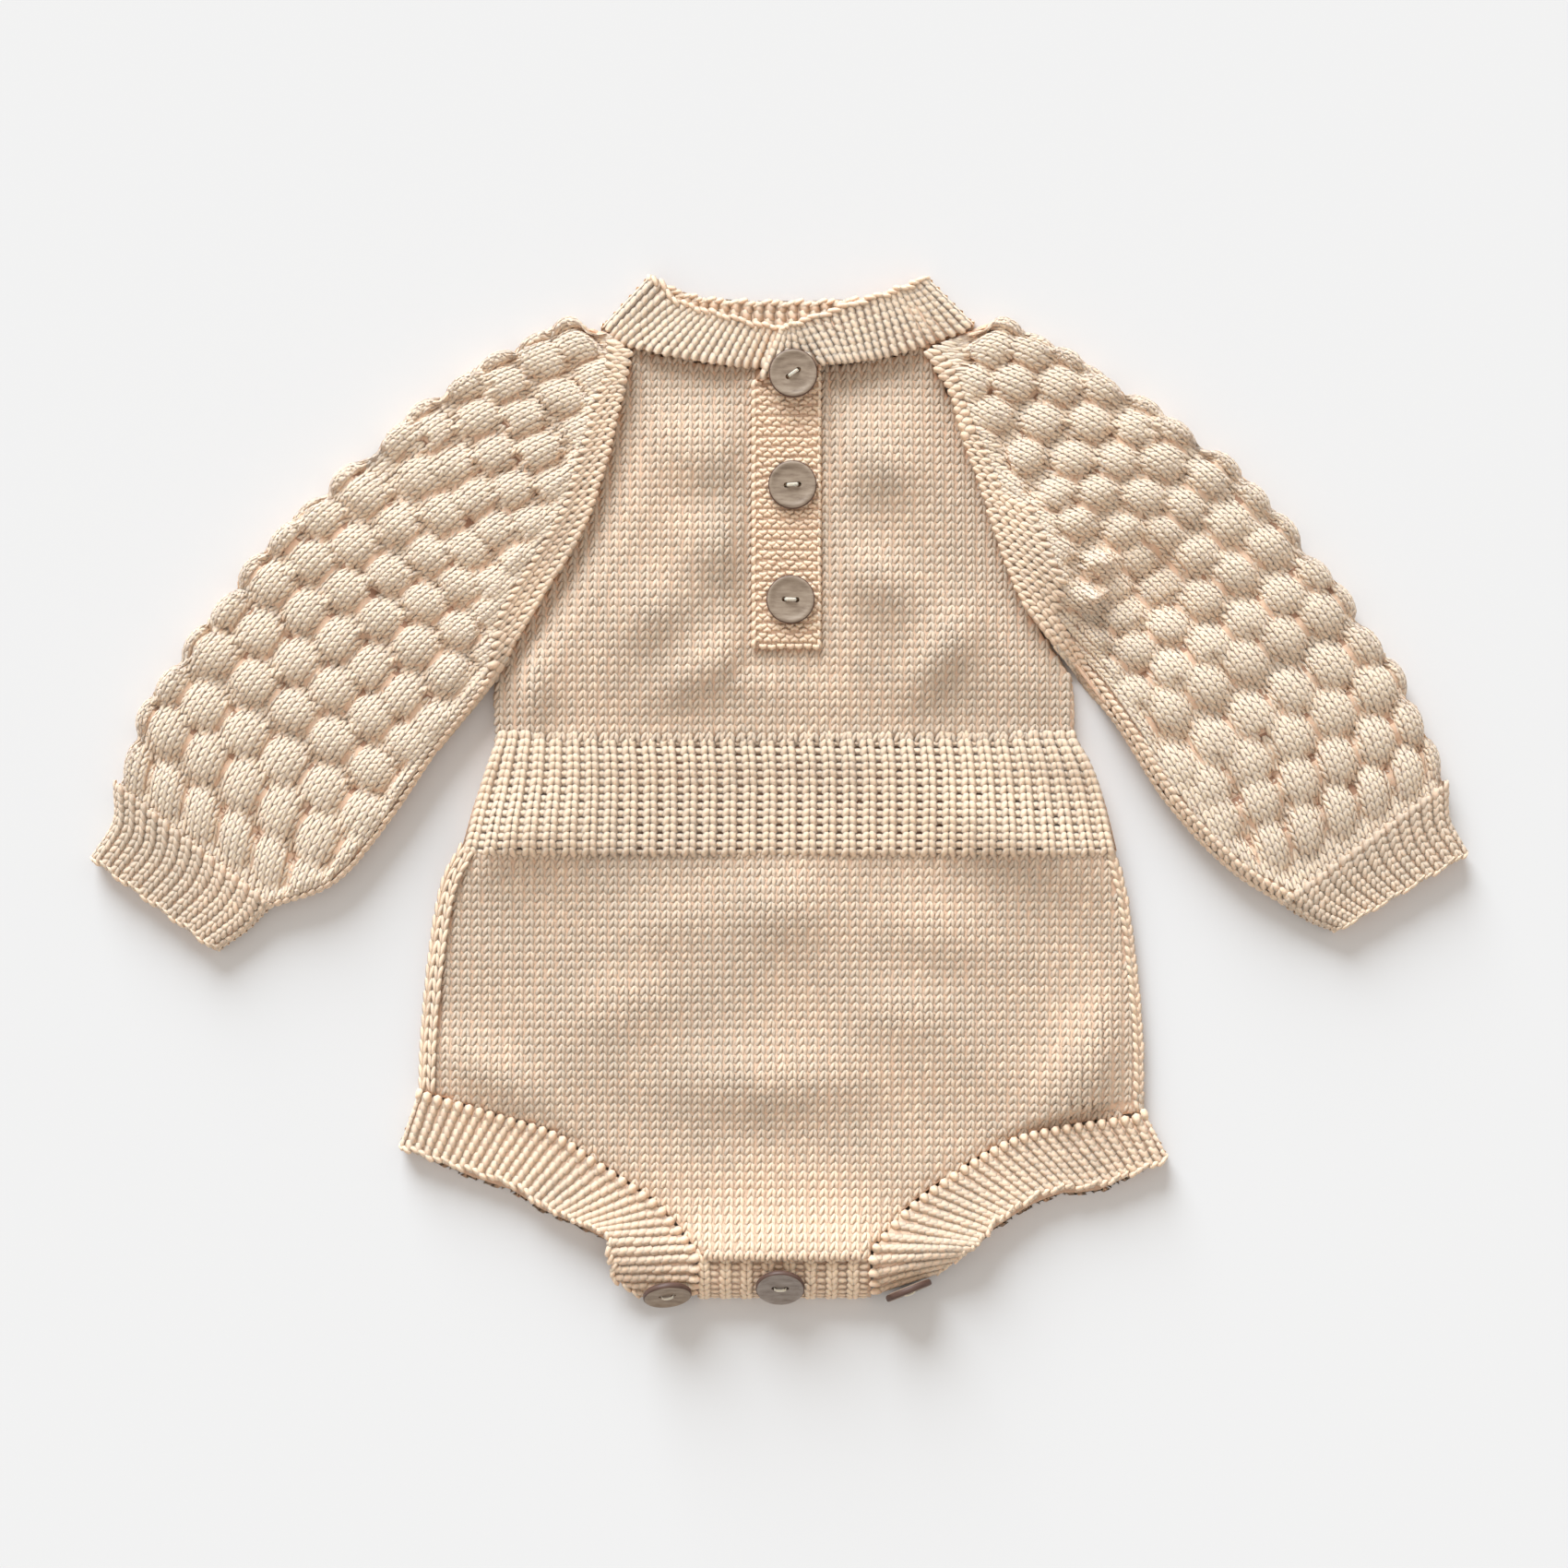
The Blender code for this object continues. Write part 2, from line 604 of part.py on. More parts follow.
def button_blank(finish):
    """A disc with rounded rims and two holes for the thread."""
    mesh = bpy.data.meshes.new("button_blank")
    shape = bmesh.new()
    bmesh.ops.create_cone(
        shape,
        cap_ends=True,
        segments=BUTTON_SIDES,
        radius1=BUTTON_RADIUS * MM,
        radius2=BUTTON_RADIUS * MM,
        depth=BUTTON_THICK * MM,
    )
    rims = [e for e in shape.edges if abs(e.verts[0].co.z - e.verts[1].co.z) < 0.1 * MM]
    bmesh.ops.bevel(shape, geom=rims, offset=BUTTON_BEVEL * MM, segments=2, affect="EDGES")
    shape.to_mesh(mesh)
    shape.free()
    return new_object("button_blank", mesh, finish)


def hole_cutter():
    mesh = bpy.data.meshes.new("thread_holes")
    shape = bmesh.new()
    for side in (-1, 1):
        made = bmesh.ops.create_cone(
            shape,
            cap_ends=True,
            segments=HOLE_SIDES,
            radius1=HOLE_RADIUS * MM,
            radius2=HOLE_RADIUS * MM,
            depth=2 * BUTTON_THICK * MM,
        )
        bmesh.ops.translate(shape, verts=made["verts"], vec=(side * HOLE_OFFSET * MM, 0, 0))
    shape.to_mesh(mesh)
    shape.free()
    cutter = bpy.data.objects.new("thread_holes", mesh)
    bpy.context.scene.collection.objects.link(cutter)
    cutter.hide_render = True
    cutter.display_type = "WIRE"
    return cutter


def make_buttons(finish):
    """The six buttons, each with its own pair of holes."""
    blank = button_blank(finish)
    for row in BUTTONS:
        button = blank if row is BUTTONS[0] else bpy.data.objects.new(row.name, blank.data.copy())
        if row is not BUTTONS[0]:
            bpy.context.scene.collection.objects.link(button)
        button.name = row.name
        button.rotation_mode = "XYZ"
        button.location = np.array([row.x, row.y, row.z]) * MM
        button.rotation_euler = (radians(row.tilt_deg), radians(row.lean_deg), radians(row.turn_deg))
        cutter = hole_cutter()
        cutter.parent = button
        holes = button.modifiers.new("thread holes", "BOOLEAN")
        holes.operation = "DIFFERENCE"
        holes.object = cutter


def clear_scene():
    for old in list(bpy.data.objects):
        bpy.data.objects.remove(old)


def make_cloth():
    plain = material("ecru cotton stockinette", (0.78, 0.62, 0.46), 0.9)
    ribbed = material("ecru cotton rib", (0.82, 0.67, 0.51), 0.9)
    bubbles = material("ecru cotton bubble stitch", (0.80, 0.65, 0.49), 0.9)
    garter = material("ecru cotton garter stitch", (0.76, 0.60, 0.44), 0.9)
    lower_back = LOWER_BODY[: LAST_BACK_ROW + 1]
    back_panel("back_lower_body", lower_back, 2, even_columns(8), PLAIN, plain, HIP_ROW)
    back_panel("back_waist_rib", WAIST_RIB, 1, even_columns(8), RIB, ribbed)
    back_panel("back_bodice", BODICE, 2, even_columns(8), PLAIN, plain)
    front_panel(
        "front_lower_body",
        LOWER_BODY,
        2,
        even_columns(16),
        FRONT_PLAIN,
        PLAIN,
        plain,
        BODY_FOLDS,
        HIP_ROW,
    )
    front_panel("front_waist_rib", WAIST_RIB, 1, even_columns(16), FRONT_RIB, RIB, ribbed)
    slot_side = 7
    front_panel(
        "front_bodice",
        BODICE,
        2,
        slot_columns(slot_side),
        FRONT_PLAIN,
        PLAIN,
        plain,
        BODICE_FOLDS,
        left_out=lambda r, c: c == slot_side and r >= 2 * SLOT_FOOT_ROW,
    )
    neckband(ribbed)
    placket_band(
        "button_band",
        SLOT_LEFT + SEAM,
        SLOT_RIGHT - SEAM,
        UNDER_FOOT,
        UNDER_HEAD,
        UNDER_HEAD,
        FRONT_PLAIN,
        PLAIN,
        garter,
    )
    placket_band(
        "buttonhole_band",
        SLOT_LEFT - OVER_LAP,
        SLOT_RIGHT - SEAM,
        OVER_FOOT,
        OVER_HEAD_LEFT,
        OVER_HEAD_RIGHT,
        FRONT_PLAIN + PLAIN + SEAM,
        GARTER,
        garter,
    )
    flat_tube("left_sleeve", LEFT_SLEEVE, 2, TUBE_EDGE, bubbles)
    flat_tube("right_sleeve", RIGHT_SLEEVE, 2, TUBE_EDGE, bubbles)
    flat_tube("left_cuff", LEFT_CUFF, 2, RIB, ribbed)
    flat_tube("right_cuff", RIGHT_CUFF, 2, RIB, ribbed)
    leg_band("left_leg_band", LEFT_LEG_FRONT, LEFT_LEG_END, LEFT_LEG_BACK, -1, ribbed)
    leg_band("right_leg_band", RIGHT_LEG_FRONT, RIGHT_LEG_END, RIGHT_LEG_BACK, 1, ribbed)
    front_crotch_band(ribbed)
    back_crotch_band(ribbed)


def main():
    clear_scene()
    make_cloth()
    make_buttons(material("coconut shell", (0.27, 0.20, 0.15), 0.5))


main()
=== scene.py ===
"""Hand-knitted baby romper in undyed cotton, lying flat on its back with its front up.

Every stitch is made of its own strands of yarn, laid on a thin backing cloth that follows the
garment's form. Sizes in the tables are in millimetres, in the model's own frame: +X towards the
right sleeve, +Y towards the neck, +Z up from the floor.
"""

from collections import namedtuple
from math import cos, pi, radians, sin

import bmesh
import bpy
import numpy as np
from mathutils import Matrix, Vector


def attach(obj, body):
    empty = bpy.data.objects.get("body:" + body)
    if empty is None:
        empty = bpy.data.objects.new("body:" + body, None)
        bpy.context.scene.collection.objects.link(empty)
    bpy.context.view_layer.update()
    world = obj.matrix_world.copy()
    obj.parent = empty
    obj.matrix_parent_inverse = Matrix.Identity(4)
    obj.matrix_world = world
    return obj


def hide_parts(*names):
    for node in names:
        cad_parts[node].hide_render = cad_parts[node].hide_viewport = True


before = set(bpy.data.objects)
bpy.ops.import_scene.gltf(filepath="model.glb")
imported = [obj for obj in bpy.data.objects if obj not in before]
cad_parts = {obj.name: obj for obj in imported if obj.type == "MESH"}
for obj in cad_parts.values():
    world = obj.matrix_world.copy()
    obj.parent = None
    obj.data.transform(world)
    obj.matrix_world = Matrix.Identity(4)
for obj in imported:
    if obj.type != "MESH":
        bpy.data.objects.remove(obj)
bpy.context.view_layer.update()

bl_info = {
    "name": "Knitted baby romper",
    "version": (1, 0, 0),
    "blender": (4, 5, 0),
    "location": "View3D > Sidebar > Romper",
    "description": "Knits a baby romper stitch by stitch, with its buttons and a studio stage",
    "category": "Object",
}

MM = 0.001

# --- Form -----------------------------------------------------------------------------------------
# The same sections as the solids have. Each row of a panel runs across the garment, each row of a
# sleeve from the fold along its outer side to the raglan or underarm seam.

PLAIN = 2.6
RIB = 3.6
GARTER = 2.8
SEAM = 0.3
FRONT_PLAIN = PLAIN + SEAM
FRONT_RIB = RIB + SEAM

Row = namedtuple("Row", "left_x left_y right_x right_y dip edge crown")
LOWER_BODY = (
    Row(-118.5, -22.6, 123.6, -22.6, 0.0, 0.0, 0.8),
    Row(-124.8, -36.0, 127.5, -36.0, 0.0, 0.0, 1.6),
    Row(-129.2, -62.0, 131.2, -60.0, 0.0, 0.0, 2.0),
    Row(-131.8, -90.0, 134.0, -92.0, 0.0, 0.0, 1.8),
    Row(-132.6, -110.5, 134.2, -118.0, 0.0, 0.0, 1.5),
    Row(-100.6, -120.2, 100.3, -124.3, 0.0, 0.6, 1.2),
    Row(-83.2, -125.8, 86.0, -128.2, 0.0, 1.0, 1.2),
    Row(-69.0, -135.3, 74.0, -134.5, 0.0, 1.6, 1.2),
    Row(-47.3, -149.8, 55.0, -147.0, 0.0, 2.8, 0.8),
    Row(-38.0, -159.2, 44.0, -156.4, 0.0, 4.4, 0.6),
    Row(-33.4, -165.0, 36.8, -164.4, 0.0, 6.8, 0.5),
    Row(-30.0, -169.4, 33.6, -169.4, 0.0, 9.0, 0.3),
)
HIP_ROW = 4
LAST_BACK_ROW = 9
WAIST_RIB = (
    Row(-103.6, 19.4, 108.8, 19.4, 0.0, 0.0, 0.2),
    Row(-108.2, 8.0, 115.6, 8.0, 0.0, 0.0, 0.5),
    Row(-113.0, -6.0, 120.6, -6.0, 0.0, 0.0, 0.9),
    Row(-117.4, -22.0, 124.4, -22.0, 0.0, 0.0, 1.5),
)
BODICE = (
    Row(-103.8, 19.9, 108.8, 19.9, 0.0, 0.0, 0.4),
    Row(-105.2, 38.0, 107.8, 40.0, 0.0, 0.0, 1.2),
    Row(-97.9, 56.0, 99.4, 54.6, 0.0, 0.0, 1.4),
    Row(-84.6, 77.0, 87.4, 76.0, 0.0, 0.0, 1.2),
    Row(-74.2, 95.5, 80.8, 95.5, 0.0, 0.0, 1.0),
    Row(-66.4, 116.5, 74.0, 116.5, 2.0, 0.0, 0.8),
    Row(-60.4, 139.0, 66.0, 139.0, 4.6, 0.0, 0.5),
    Row(-54.6, 162.9, 53.8, 162.9, 7.4, 0.0, 0.2),
)

Fold = namedtuple("Fold", "x y length width turn_deg height")
BODY_FOLDS = (
    Fold(-62.0, -92.0, 46.0, 17.0, 24.0, 1.6),
    Fold(66.0, -98.0, 44.0, 16.0, -20.0, 1.5),
    Fold(4.0, -112.0, 52.0, 15.0, 0.0, -1.3),
    Fold(-6.0, -56.0, 60.0, 18.0, 4.0, 1.0),
)
# Softer folds, which only the stitches follow
BODY_SHADES = (
    Fold(0.0, -43.0, 18.0, 14.0, 0.0, 5.0),
    Fold(-42.0, -50.0, 20.0, 10.0, 14.0, 2.3),
    Fold(58.0, -52.0, 24.0, 11.0, -12.0, 2.6),
    Fold(-108.0, -103.0, 24.0, 10.0, -30.0, 5.0),
    Fold(114.0, -100.0, 28.0, 14.0, 57.0, 6.7),
    Fold(-5.0, -108.0, 40.0, 14.0, 0.0, 6.7),
    Fold(-58.0, -78.0, 22.0, 11.0, 10.0, 2.4),
    Fold(46.0, -82.0, 20.0, 10.0, -6.0, 2.4),
    Fold(0.0, -166.0, 40.0, 11.0, 0.0, 4.3),
)
WAIST_FOLDS = (
    Fold(-97.0, -13.0, 28.0, 15.0, 4.0, 7.7),
    Fold(84.0, -14.0, 36.0, 14.0, -24.0, 7.2),
    Fold(0.0, -8.0, 50.0, 12.0, 0.0, 1.4),
)
BODICE_SHADES = (
    Fold(-30.6, 123.4, 15.0, 12.0, -20.0, 4.8),
    Fold(-24.8, 91.0, 15.0, 13.0, -15.0, 4.8),
    Fold(-47.6, 66.0, 13.0, 12.0, 10.0, 3.3),
    Fold(-28.9, 44.9, 19.0, 9.0, 32.0, 3.9),
    Fold(35.7, 120.0, 16.0, 12.0, -15.0, 4.8),
    Fold(35.0, 77.5, 16.0, 11.0, -27.0, 4.6),
    Fold(58.0, 49.6, 18.0, 9.0, 55.0, 4.8),
    Fold(12.0, 44.0, 14.0, 7.0, -10.0, -1.5),
    Fold(-92.0, 38.0, 16.0, 9.0, 80.0, 4.8),
)
BODICE_FOLDS = (
    Fold(-46.0, 68.0, 30.0, 13.0, 40.0, 1.4),
    Fold(58.0, 62.0, 34.0, 13.0, -32.0, 1.3),
    Fold(-80.0, 42.0, 26.0, 9.0, 66.0, -1.0),
    Fold(84.0, 46.0, 26.0, 9.0, -64.0, -1.0),
    Fold(40.0, 112.0, 26.0, 16.0, -70.0, 0.9),
)

SLOT_LEFT = -8.5
SLOT_RIGHT = 15.3
OVER_FOOT = 52.6
OVER_HEAD_LEFT = 150.4
OVER_HEAD_RIGHT = 156.0
OVER_LAP = 1.0

Section = namedtuple("Section", "outer_x outer_y inner_x inner_y height closed")
LEFT_SLEEVE = (
    Section(-66.4, 170.4, -57.0, 163.0, 7.6, 0.0),
    Section(-77.5, 175.4, -59.0, 150.0, 9.5, 0.0),
    Section(-92.0, 168.6, -62.6, 134.4, 11.0, 0.0),
    Section(-108.8, 160.0, -67.2, 117.2, 12.0, 0.0),
    Section(-128.0, 147.6, -75.2, 95.6, 13.0, 0.0),
    Section(-158.8, 121.7, -93.0, 66.4, 13.5, 0.0),
    Section(-189.4, 92.6, -106.5, 40.6, 13.5, 0.6),
    Section(-210.5, 66.8, -126.6, 14.8, 13.5, 1.0),
    Section(-229.5, 41.4, -143.1, -9.5, 13.0, 1.0),
    Section(-240.0, 21.4, -163.6, -33.2, 12.0, 1.0),
    Section(-245.0, 1.6, -188.2, -42.6, 10.4, 1.0),
)
RIGHT_SLEEVE = (
    Section(72.4, 171.0, 56.0, 162.4, 7.6, 0.0),
    Section(81.6, 175.6, 63.6, 150.0, 9.5, 0.0),
    Section(95.2, 169.4, 68.2, 134.4, 11.0, 0.0),
    Section(110.6, 161.2, 74.6, 117.2, 12.0, 0.0),
    Section(133.4, 146.6, 81.6, 95.6, 13.0, 0.0),
    Section(165.0, 124.6, 92.2, 69.6, 13.5, 0.0),
    Section(195.5, 91.8, 108.8, 46.0, 13.5, 0.6),
    Section(214.0, 67.6, 124.6, 24.4, 13.5, 1.0),
    Section(230.2, 44.2, 142.8, -4.0, 13.0, 1.0),
    Section(241.4, 19.6, 165.0, -27.8, 12.0, 1.0),
    Section(246.2, 1.8, 186.2, -41.6, 10.4, 1.0),
)
LEFT_CUFF = (
    Section(-245.0, 1.0, -188.8, -43.2, 9.8, 1.0),
    Section(-245.4, -11.0, -196.0, -50.6, 8.8, 1.0),
    Section(-253.6, -24.1, -207.1, -58.5, 8.4, 1.0),
)
RIGHT_CUFF = (
    Section(246.3, 1.2, 186.8, -42.2, 9.8, 1.0),
    Section(247.0, -10.0, 195.4, -47.6, 8.8, 1.0),
    Section(253.6, -22.4, 204.8, -51.4, 8.4, 1.0),
)
RAGLAN_RISE = 15.0
SEAM_SWELL = 0.8
RAGLAN_LAP = 2.2  # of the sleeve's border over the bodice
BORDER_STAND = 4.4  # of the sleeve's border above the bodice's edge

# Bubbles, row by row from the neck: the middle of the first full bubble beside the outer fold, the
# middle of the last one beside the seam, and how many there are from one to the other.
Bubbles = namedtuple("Bubbles", "first_x first_y last_x last_y count")
LEFT_BUBBLES = (
    Bubbles(-73.1, 164.6, -67.0, 152.3, 2),
    Bubbles(-87.4, 159.1, -71.1, 131.9, 3),
    Bubbles(-100.6, 150.3, -88.4, 125.8, 3),
    Bubbles(-115.9, 151.3, -97.9, 111.5, 4),
    Bubbles(-127.2, 132.3, -103.7, 96.2, 4),
    Bubbles(-132.9, 115.3, -114.6, 89.8, 3),
    Bubbles(-140.1, 97.6, -117.0, 75.5, 3),
    Bubbles(-155.4, 91.1, -117.3, 60.2, 4),
    Bubbles(-172.0, 84.7, -120.4, 43.9, 5),
    Bubbles(-174.4, 66.3, -126.5, 25.5, 5),
    Bubbles(-191.4, 58.5, -136.7, 17.7, 5),
    Bubbles(-192.4, 40.1, -149.9, 9.2, 4),
    Bubbles(-211.1, 30.3, -153.7, -10.5, 5),
    Bubbles(-211.5, 12.6, -170.3, -17.3, 4),
    Bubbles(-225.4, 1.0, -186.7, -25.2, 4),
)
RIGHT_BUBBLES = (
    Bubbles(77.9, 163.2, 70.4, 151.0, 2),
    Bubbles(85.3, 151.0, 77.9, 138.7, 2),
    Bubbles(103.4, 149.9, 89.8, 123.4, 3),
    Bubbles(120.0, 148.9, 101.3, 110.2, 4),
    Bubbles(131.6, 133.6, 110.2, 98.3, 4),
    Bubbles(146.9, 134.6, 118.7, 83.6, 5),
    Bubbles(149.6, 105.1, 141.8, 94.2, 2),
    Bubbles(166.3, 97.2, 140.8, 75.8, 3),
    Bubbles(179.9, 89.8, 130.2, 52.7, 5),
    Bubbles(185.3, 71.4, 130.9, 34.7, 5),
    Bubbles(198.9, 64.6, 142.8, 30.3, 5),
    Bubbles(203.0, 46.2, 146.9, 7.5, 5),
    Bubbles(218.6, 38.8, 158.4, 0.3, 5),
    Bubbles(219.3, 19.0, 176.5, -3.7, 4),
    Bubbles(231.5, 7.1, 180.9, -19.7, 5),
)

# The right sleeve is caught up in a pleat beside the armpit
RIGHT_TUCK = (
    Fold(100.0, 84.0, 22.0, 11.0, -65.0, 3.4),
    Fold(118.0, 83.6, 5.0, 4.0, 15.0, 7.5),
    Fold(117.0, 70.7, 5.0, 3.6, 25.0, 7.5),
    Fold(113.0, 44.0, 20.0, 5.4, -72.0, -9.0),
    Fold(139.0, 77.0, 20.0, 12.0, -57.0, -7.0),
)

Rim = namedtuple("Rim", "x y z")
Station = namedtuple("Station", "rim_x rim_y root_x root_y rim_z root_z")
LEFT_LEG_FRONT = (
    Rim(-139.8, -130.6, 7.5),
    Rim(-112.6, -139.8, 7.7),
    Rim(-98.0, -144.6, 8.2),
    Rim(-87.4, -151.8, 9.2),
    Rim(-73.0, -158.4, 10.4),
    Rim(-65.0, -161.4, 11.6),
    Rim(-62.4, -166.0, 12.2),
    Rim(-61.6, -171.6, 11.4),
)
LEFT_LEG_END = (
    Station(-60.4, -179.0, -30.8, -178.8, 8.8, 12.9),
    Station(-51.6, -186.6, -31.8, -185.4, 5.4, 7.4),
)
RIGHT_LEG_FRONT = (
    Rim(143.0, -134.9, 7.5),
    Rim(117.6, -144.4, 7.7),
    Rim(104.0, -145.6, 8.2),
    Rim(93.0, -149.2, 9.2),
    Rim(80.0, -157.6, 10.4),
    Rim(74.0, -164.0, 11.6),
    Rim(71.4, -166.4, 12.2),
    Rim(68.6, -169.0, 11.6),
)
RIGHT_LEG_END = (
    Station(64.2, -172.6, 34.4, -178.2, 9.6, 13.2),
    Station(58.0, -177.8, 35.4, -185.4, 6.6, 7.4),
)
LEFT_LEG_BACK = (
    Rim(-140.2, -131.6, RIB),
    Rim(-113.6, -142.4, RIB),
    Rim(-98.8, -147.2, RIB),
    Rim(-88.2, -154.2, RIB),
    Rim(-73.6, -160.6, RIB),
    Rim(-64.0, -165.6, RIB),
)
RIGHT_LEG_BACK = (
    Rim(143.6, -136.6, RIB),
    Rim(118.2, -147.2, RIB),
    Rim(104.8, -148.4, RIB),
    Rim(93.8, -152.4, RIB),
    Rim(80.8, -160.4, RIB),
    Rim(70.6, -168.0, RIB),
)
PICK_UP = 0.8
NECK_STAND = 3.0

NECK_RIGHT_FRONT = (
    Station(1.0, 170.0, -8.5, 151.2, 11.7, 11.6),
    Station(8.0, 172.2, 16.2, 156.8, 11.6, 11.5),
    Station(22.0, 177.4, 28.0, 158.2, 9.0, 9.0),
    Station(38.0, 182.6, 44.0, 161.2, 7.8, 7.7),
    Station(54.2, 190.0, 71.4, 172.8, 7.5, 7.5),
)
NECK_BACK = (
    Station(54.2, 190.0, 71.4, 172.8, RIB, RIB),
    Station(45.2, 184.4, 54.6, 163.9, RIB, RIB),
    Station(28.0, 181.0, 34.0, 159.2, RIB, RIB),
    Station(0.0, 180.0, 0.0, 156.2, RIB, RIB),
    Station(-25.0, 181.0, -30.0, 158.4, RIB, RIB),
    Station(-38.0, 184.0, -55.2, 163.9, RIB, RIB),
    Station(-47.9, 190.2, -65.2, 171.8, RIB, RIB),
)
NECK_LEFT_FRONT = (
    Station(-47.9, 190.2, -65.2, 171.8, 7.5, 7.5),
    Station(-36.6, 179.8, -55.0, 163.9, 7.5, 7.5),
    Station(-18.0, 174.2, -28.0, 158.2, 7.5, 7.5),
    Station(-3.0, 171.0, -9.0, 156.3, 7.4, 7.4),
    Station(9.0, 171.0, 11.0, 156.4, 7.4, 7.4),
)

CROTCH_TOP = 15.0
ROLL_START = -169.8
ROLL_REACH = 17.4
ROLL_FOOT = 1.6
ROLL_TURN_DEG = 96.0
CROTCH_LEFT = -29.6
CROTCH_RIGHT = 33.2

Button = namedtuple("Button", "name x y z tilt_deg turn_deg shell")
BUTTONS = (
    Button("neck_button_1", 5.1, 153.2, 13.4, 0.0, 35.0, "taupe"),
    Button("neck_button_2", 4.8, 112.5, 11.4, 0.0, 4.0, "taupe"),
    Button("neck_button_3", 4.1, 70.4, 11.7, 0.0, -3.0, "taupe"),
    Button("left_crotch_button", -41.1, -184.5, 12.9, 57.0, 8.0, "taupe"),
    Button("middle_crotch_button", 0.3, -181.6, 14.0, 42.0, 0.0, "grey"),
    Button("right_crotch_button", 47.5, -183.4, 9.2, 80.0, 22.0, "taupe"),
)
HOLE_RADIUS = 0.95
HOLE_OFFSET = 2.3

# --- Yarn -----------------------------------------------------------------------------------------

BODY_WALE = 3.87
BODY_ROW = 3.1
SLEEVE_WALE = 3.25
SLEEVE_ROW = 2.9
NARROW_RIB = 3.75
CUFF_LAP = 3.0
WAIST_PITCH = 7.3
WAIST_ROW = 2.8
WAIST_WIDTH = 241.0
WAIST_FOOT = -23.8
WAIST_HEAD = 22.0
NECK_RIB = 2.9
NECK_RIB_INSIDE = 4.6
NECK_RIB_BEHIND = 3.9
BAND_ROW = 3.0
CAST_OFF = 3.2  # from stitch to stitch of a cast-off edge
BORDER_ROW = 3.3  # on the sleeves' plain borders
GARTER_RIDGE = 3.8
GARTER_STITCH = 3.3
BUBBLE_RISE = 4.6
BUBBLE_HALF_WIDTH = 0.525  # of the way from one bubble's middle to the next
BUBBLE_HALF_LENGTH = 8.9

# Shares of an outline's area that are cloth
BESIDE_SLOT = 0.92  # front bodice
SLANTED_HEAD = 0.97  # upper placket band
BENT_SLEEVE = 0.95  # the way along a sleeve is taken at its outer fold, which is its longest side
SINK = 0.4  # of a strand's middle below the cloth's outer face
BACKING_SINK = 0.12  # of the backing cloth below the cloth's outer face
BACKING_DEPTH = 1.4

# One strand, from tip to tip: how far along, how high and how thick it is, as shares of its length
# and of its thickness
FINE = (
    (-0.5, -0.34, 0.0, 0.34, 0.5),
    (-0.14, 0.15, 0.31, 0.15, -0.14),
    (0.0, 0.84, 1.0, 0.84, 0.0),
)
CORD = ((-0.5, -0.34, 0.0, 0.34, 0.5), (0.0, 0.12, 0.19, 0.12, 0.0), (0.0, 0.9, 1.0, 0.9, 0.0))
FLUFFY = ((-0.5, -0.3, 0.0, 0.3, 0.5), (-0.1, 0.03, 0.07, 0.03, -0.1), (0.0, 0.85, 1.0, 0.85, 0.0))
PLAINER = ((-0.5, 0.0, 0.5), (-0.4, 0.5, -0.4), (0.0, 1.0, 0.0))
SIDES = 3  # a ridge on top and a flat foot in the cloth

# A strand's thickness off the cloth, as a share of its thickness along it
FLATNESS = 0.27  # in plain knitting
SLEEVE_FLAT = 0.12
WAIST_FLAT = 0.17
TROUGH_FLAT = 0.18  # between the waist's ribs
NECK_FLAT = 0.15
BAND_FLAT = 0.3  # in the leg bands and cuffs
GARTER_FLAT = 0.5
EDGE_FLAT = 0.6  # along picked-up and cast-off edges
CUFF_EDGE_FLAT = 0.8

# Tones of the yarn. 0 is its own colour, the middle of its ramp, and each 1 is about a quarter of
# the ramp, towards DARKER or LIGHTER. Some of them are painted light and shade.
RIB_TONE = -0.35  # neckband, waist rib, leg bands and the plain borders of the sleeves
TROUGH_SHADE_TONE = -0.5  # painted shade between the waist's ribs
CUFF_TONE = -1.4
PANEL_TONE = -1.5  # the plain panels, a little darker than the yarn's own colour
PAINTED_LIGHT_TONE = 0.9  # painted highlight where light falls on raised ridges, edges and bubbles

# The two legs of a stitch, as shares of its width and height: how far each stands from the middle,
# how far it leans out, how thick and how long it is, and how high it lies in millimetres
Leg = namedtuple("Leg", "aside lean thick length rise")
WORN_LEGS = (Leg(-0.2, 0.5, 0.28, 1.3, 0.3), Leg(0.22, 0.24, 0.42, 1.6, -0.12))
FLUFFY_LEGS = (Leg(-0.22, 0.46, 0.38, 1.6, 0.03), Leg(0.22, 0.3, 0.42, 1.8, 0.0))
EVEN_LEGS = (Leg(-0.235, 0.38, 0.33, 1.35, 0.12), Leg(0.235, 0.3, 0.37, 1.45, 0.0))


# Shares of a colour's red, green and blue
DARKER = (0.71, 0.77, 0.81)
LIGHTER = (1.12, 1.09, 1.08)
# Painted shade: darker yarn for the backing, for the troughs between ribs and for the pits
BACKING_SHADE = (0.83, 0.78, 0.75)
RIB_TROUGH_SHADE = (0.68, 0.6, 0.56)
PIT_SHADE = (0.45, 0.355, 0.32)
SHELL_DARKER = (0.67, 0.64, 0.62)
SHELL_LIGHTER = (1.27, 1.32, 1.36)
GREYER = (0.97, 1.07, 1.27)
SAWN = (0.325, 0.23, 0.23)


def hex_colour(code):
    """A colour given as sRGB hex, turned to linear."""
    parts = [int(code[i : i + 2], 16) / 255.0 for i in (1, 3, 5)]
    linear = [c / 12.92 if c <= 0.04045 else ((c + 0.055) / 1.055) ** 2.4 for c in parts]
    return tuple(linear)


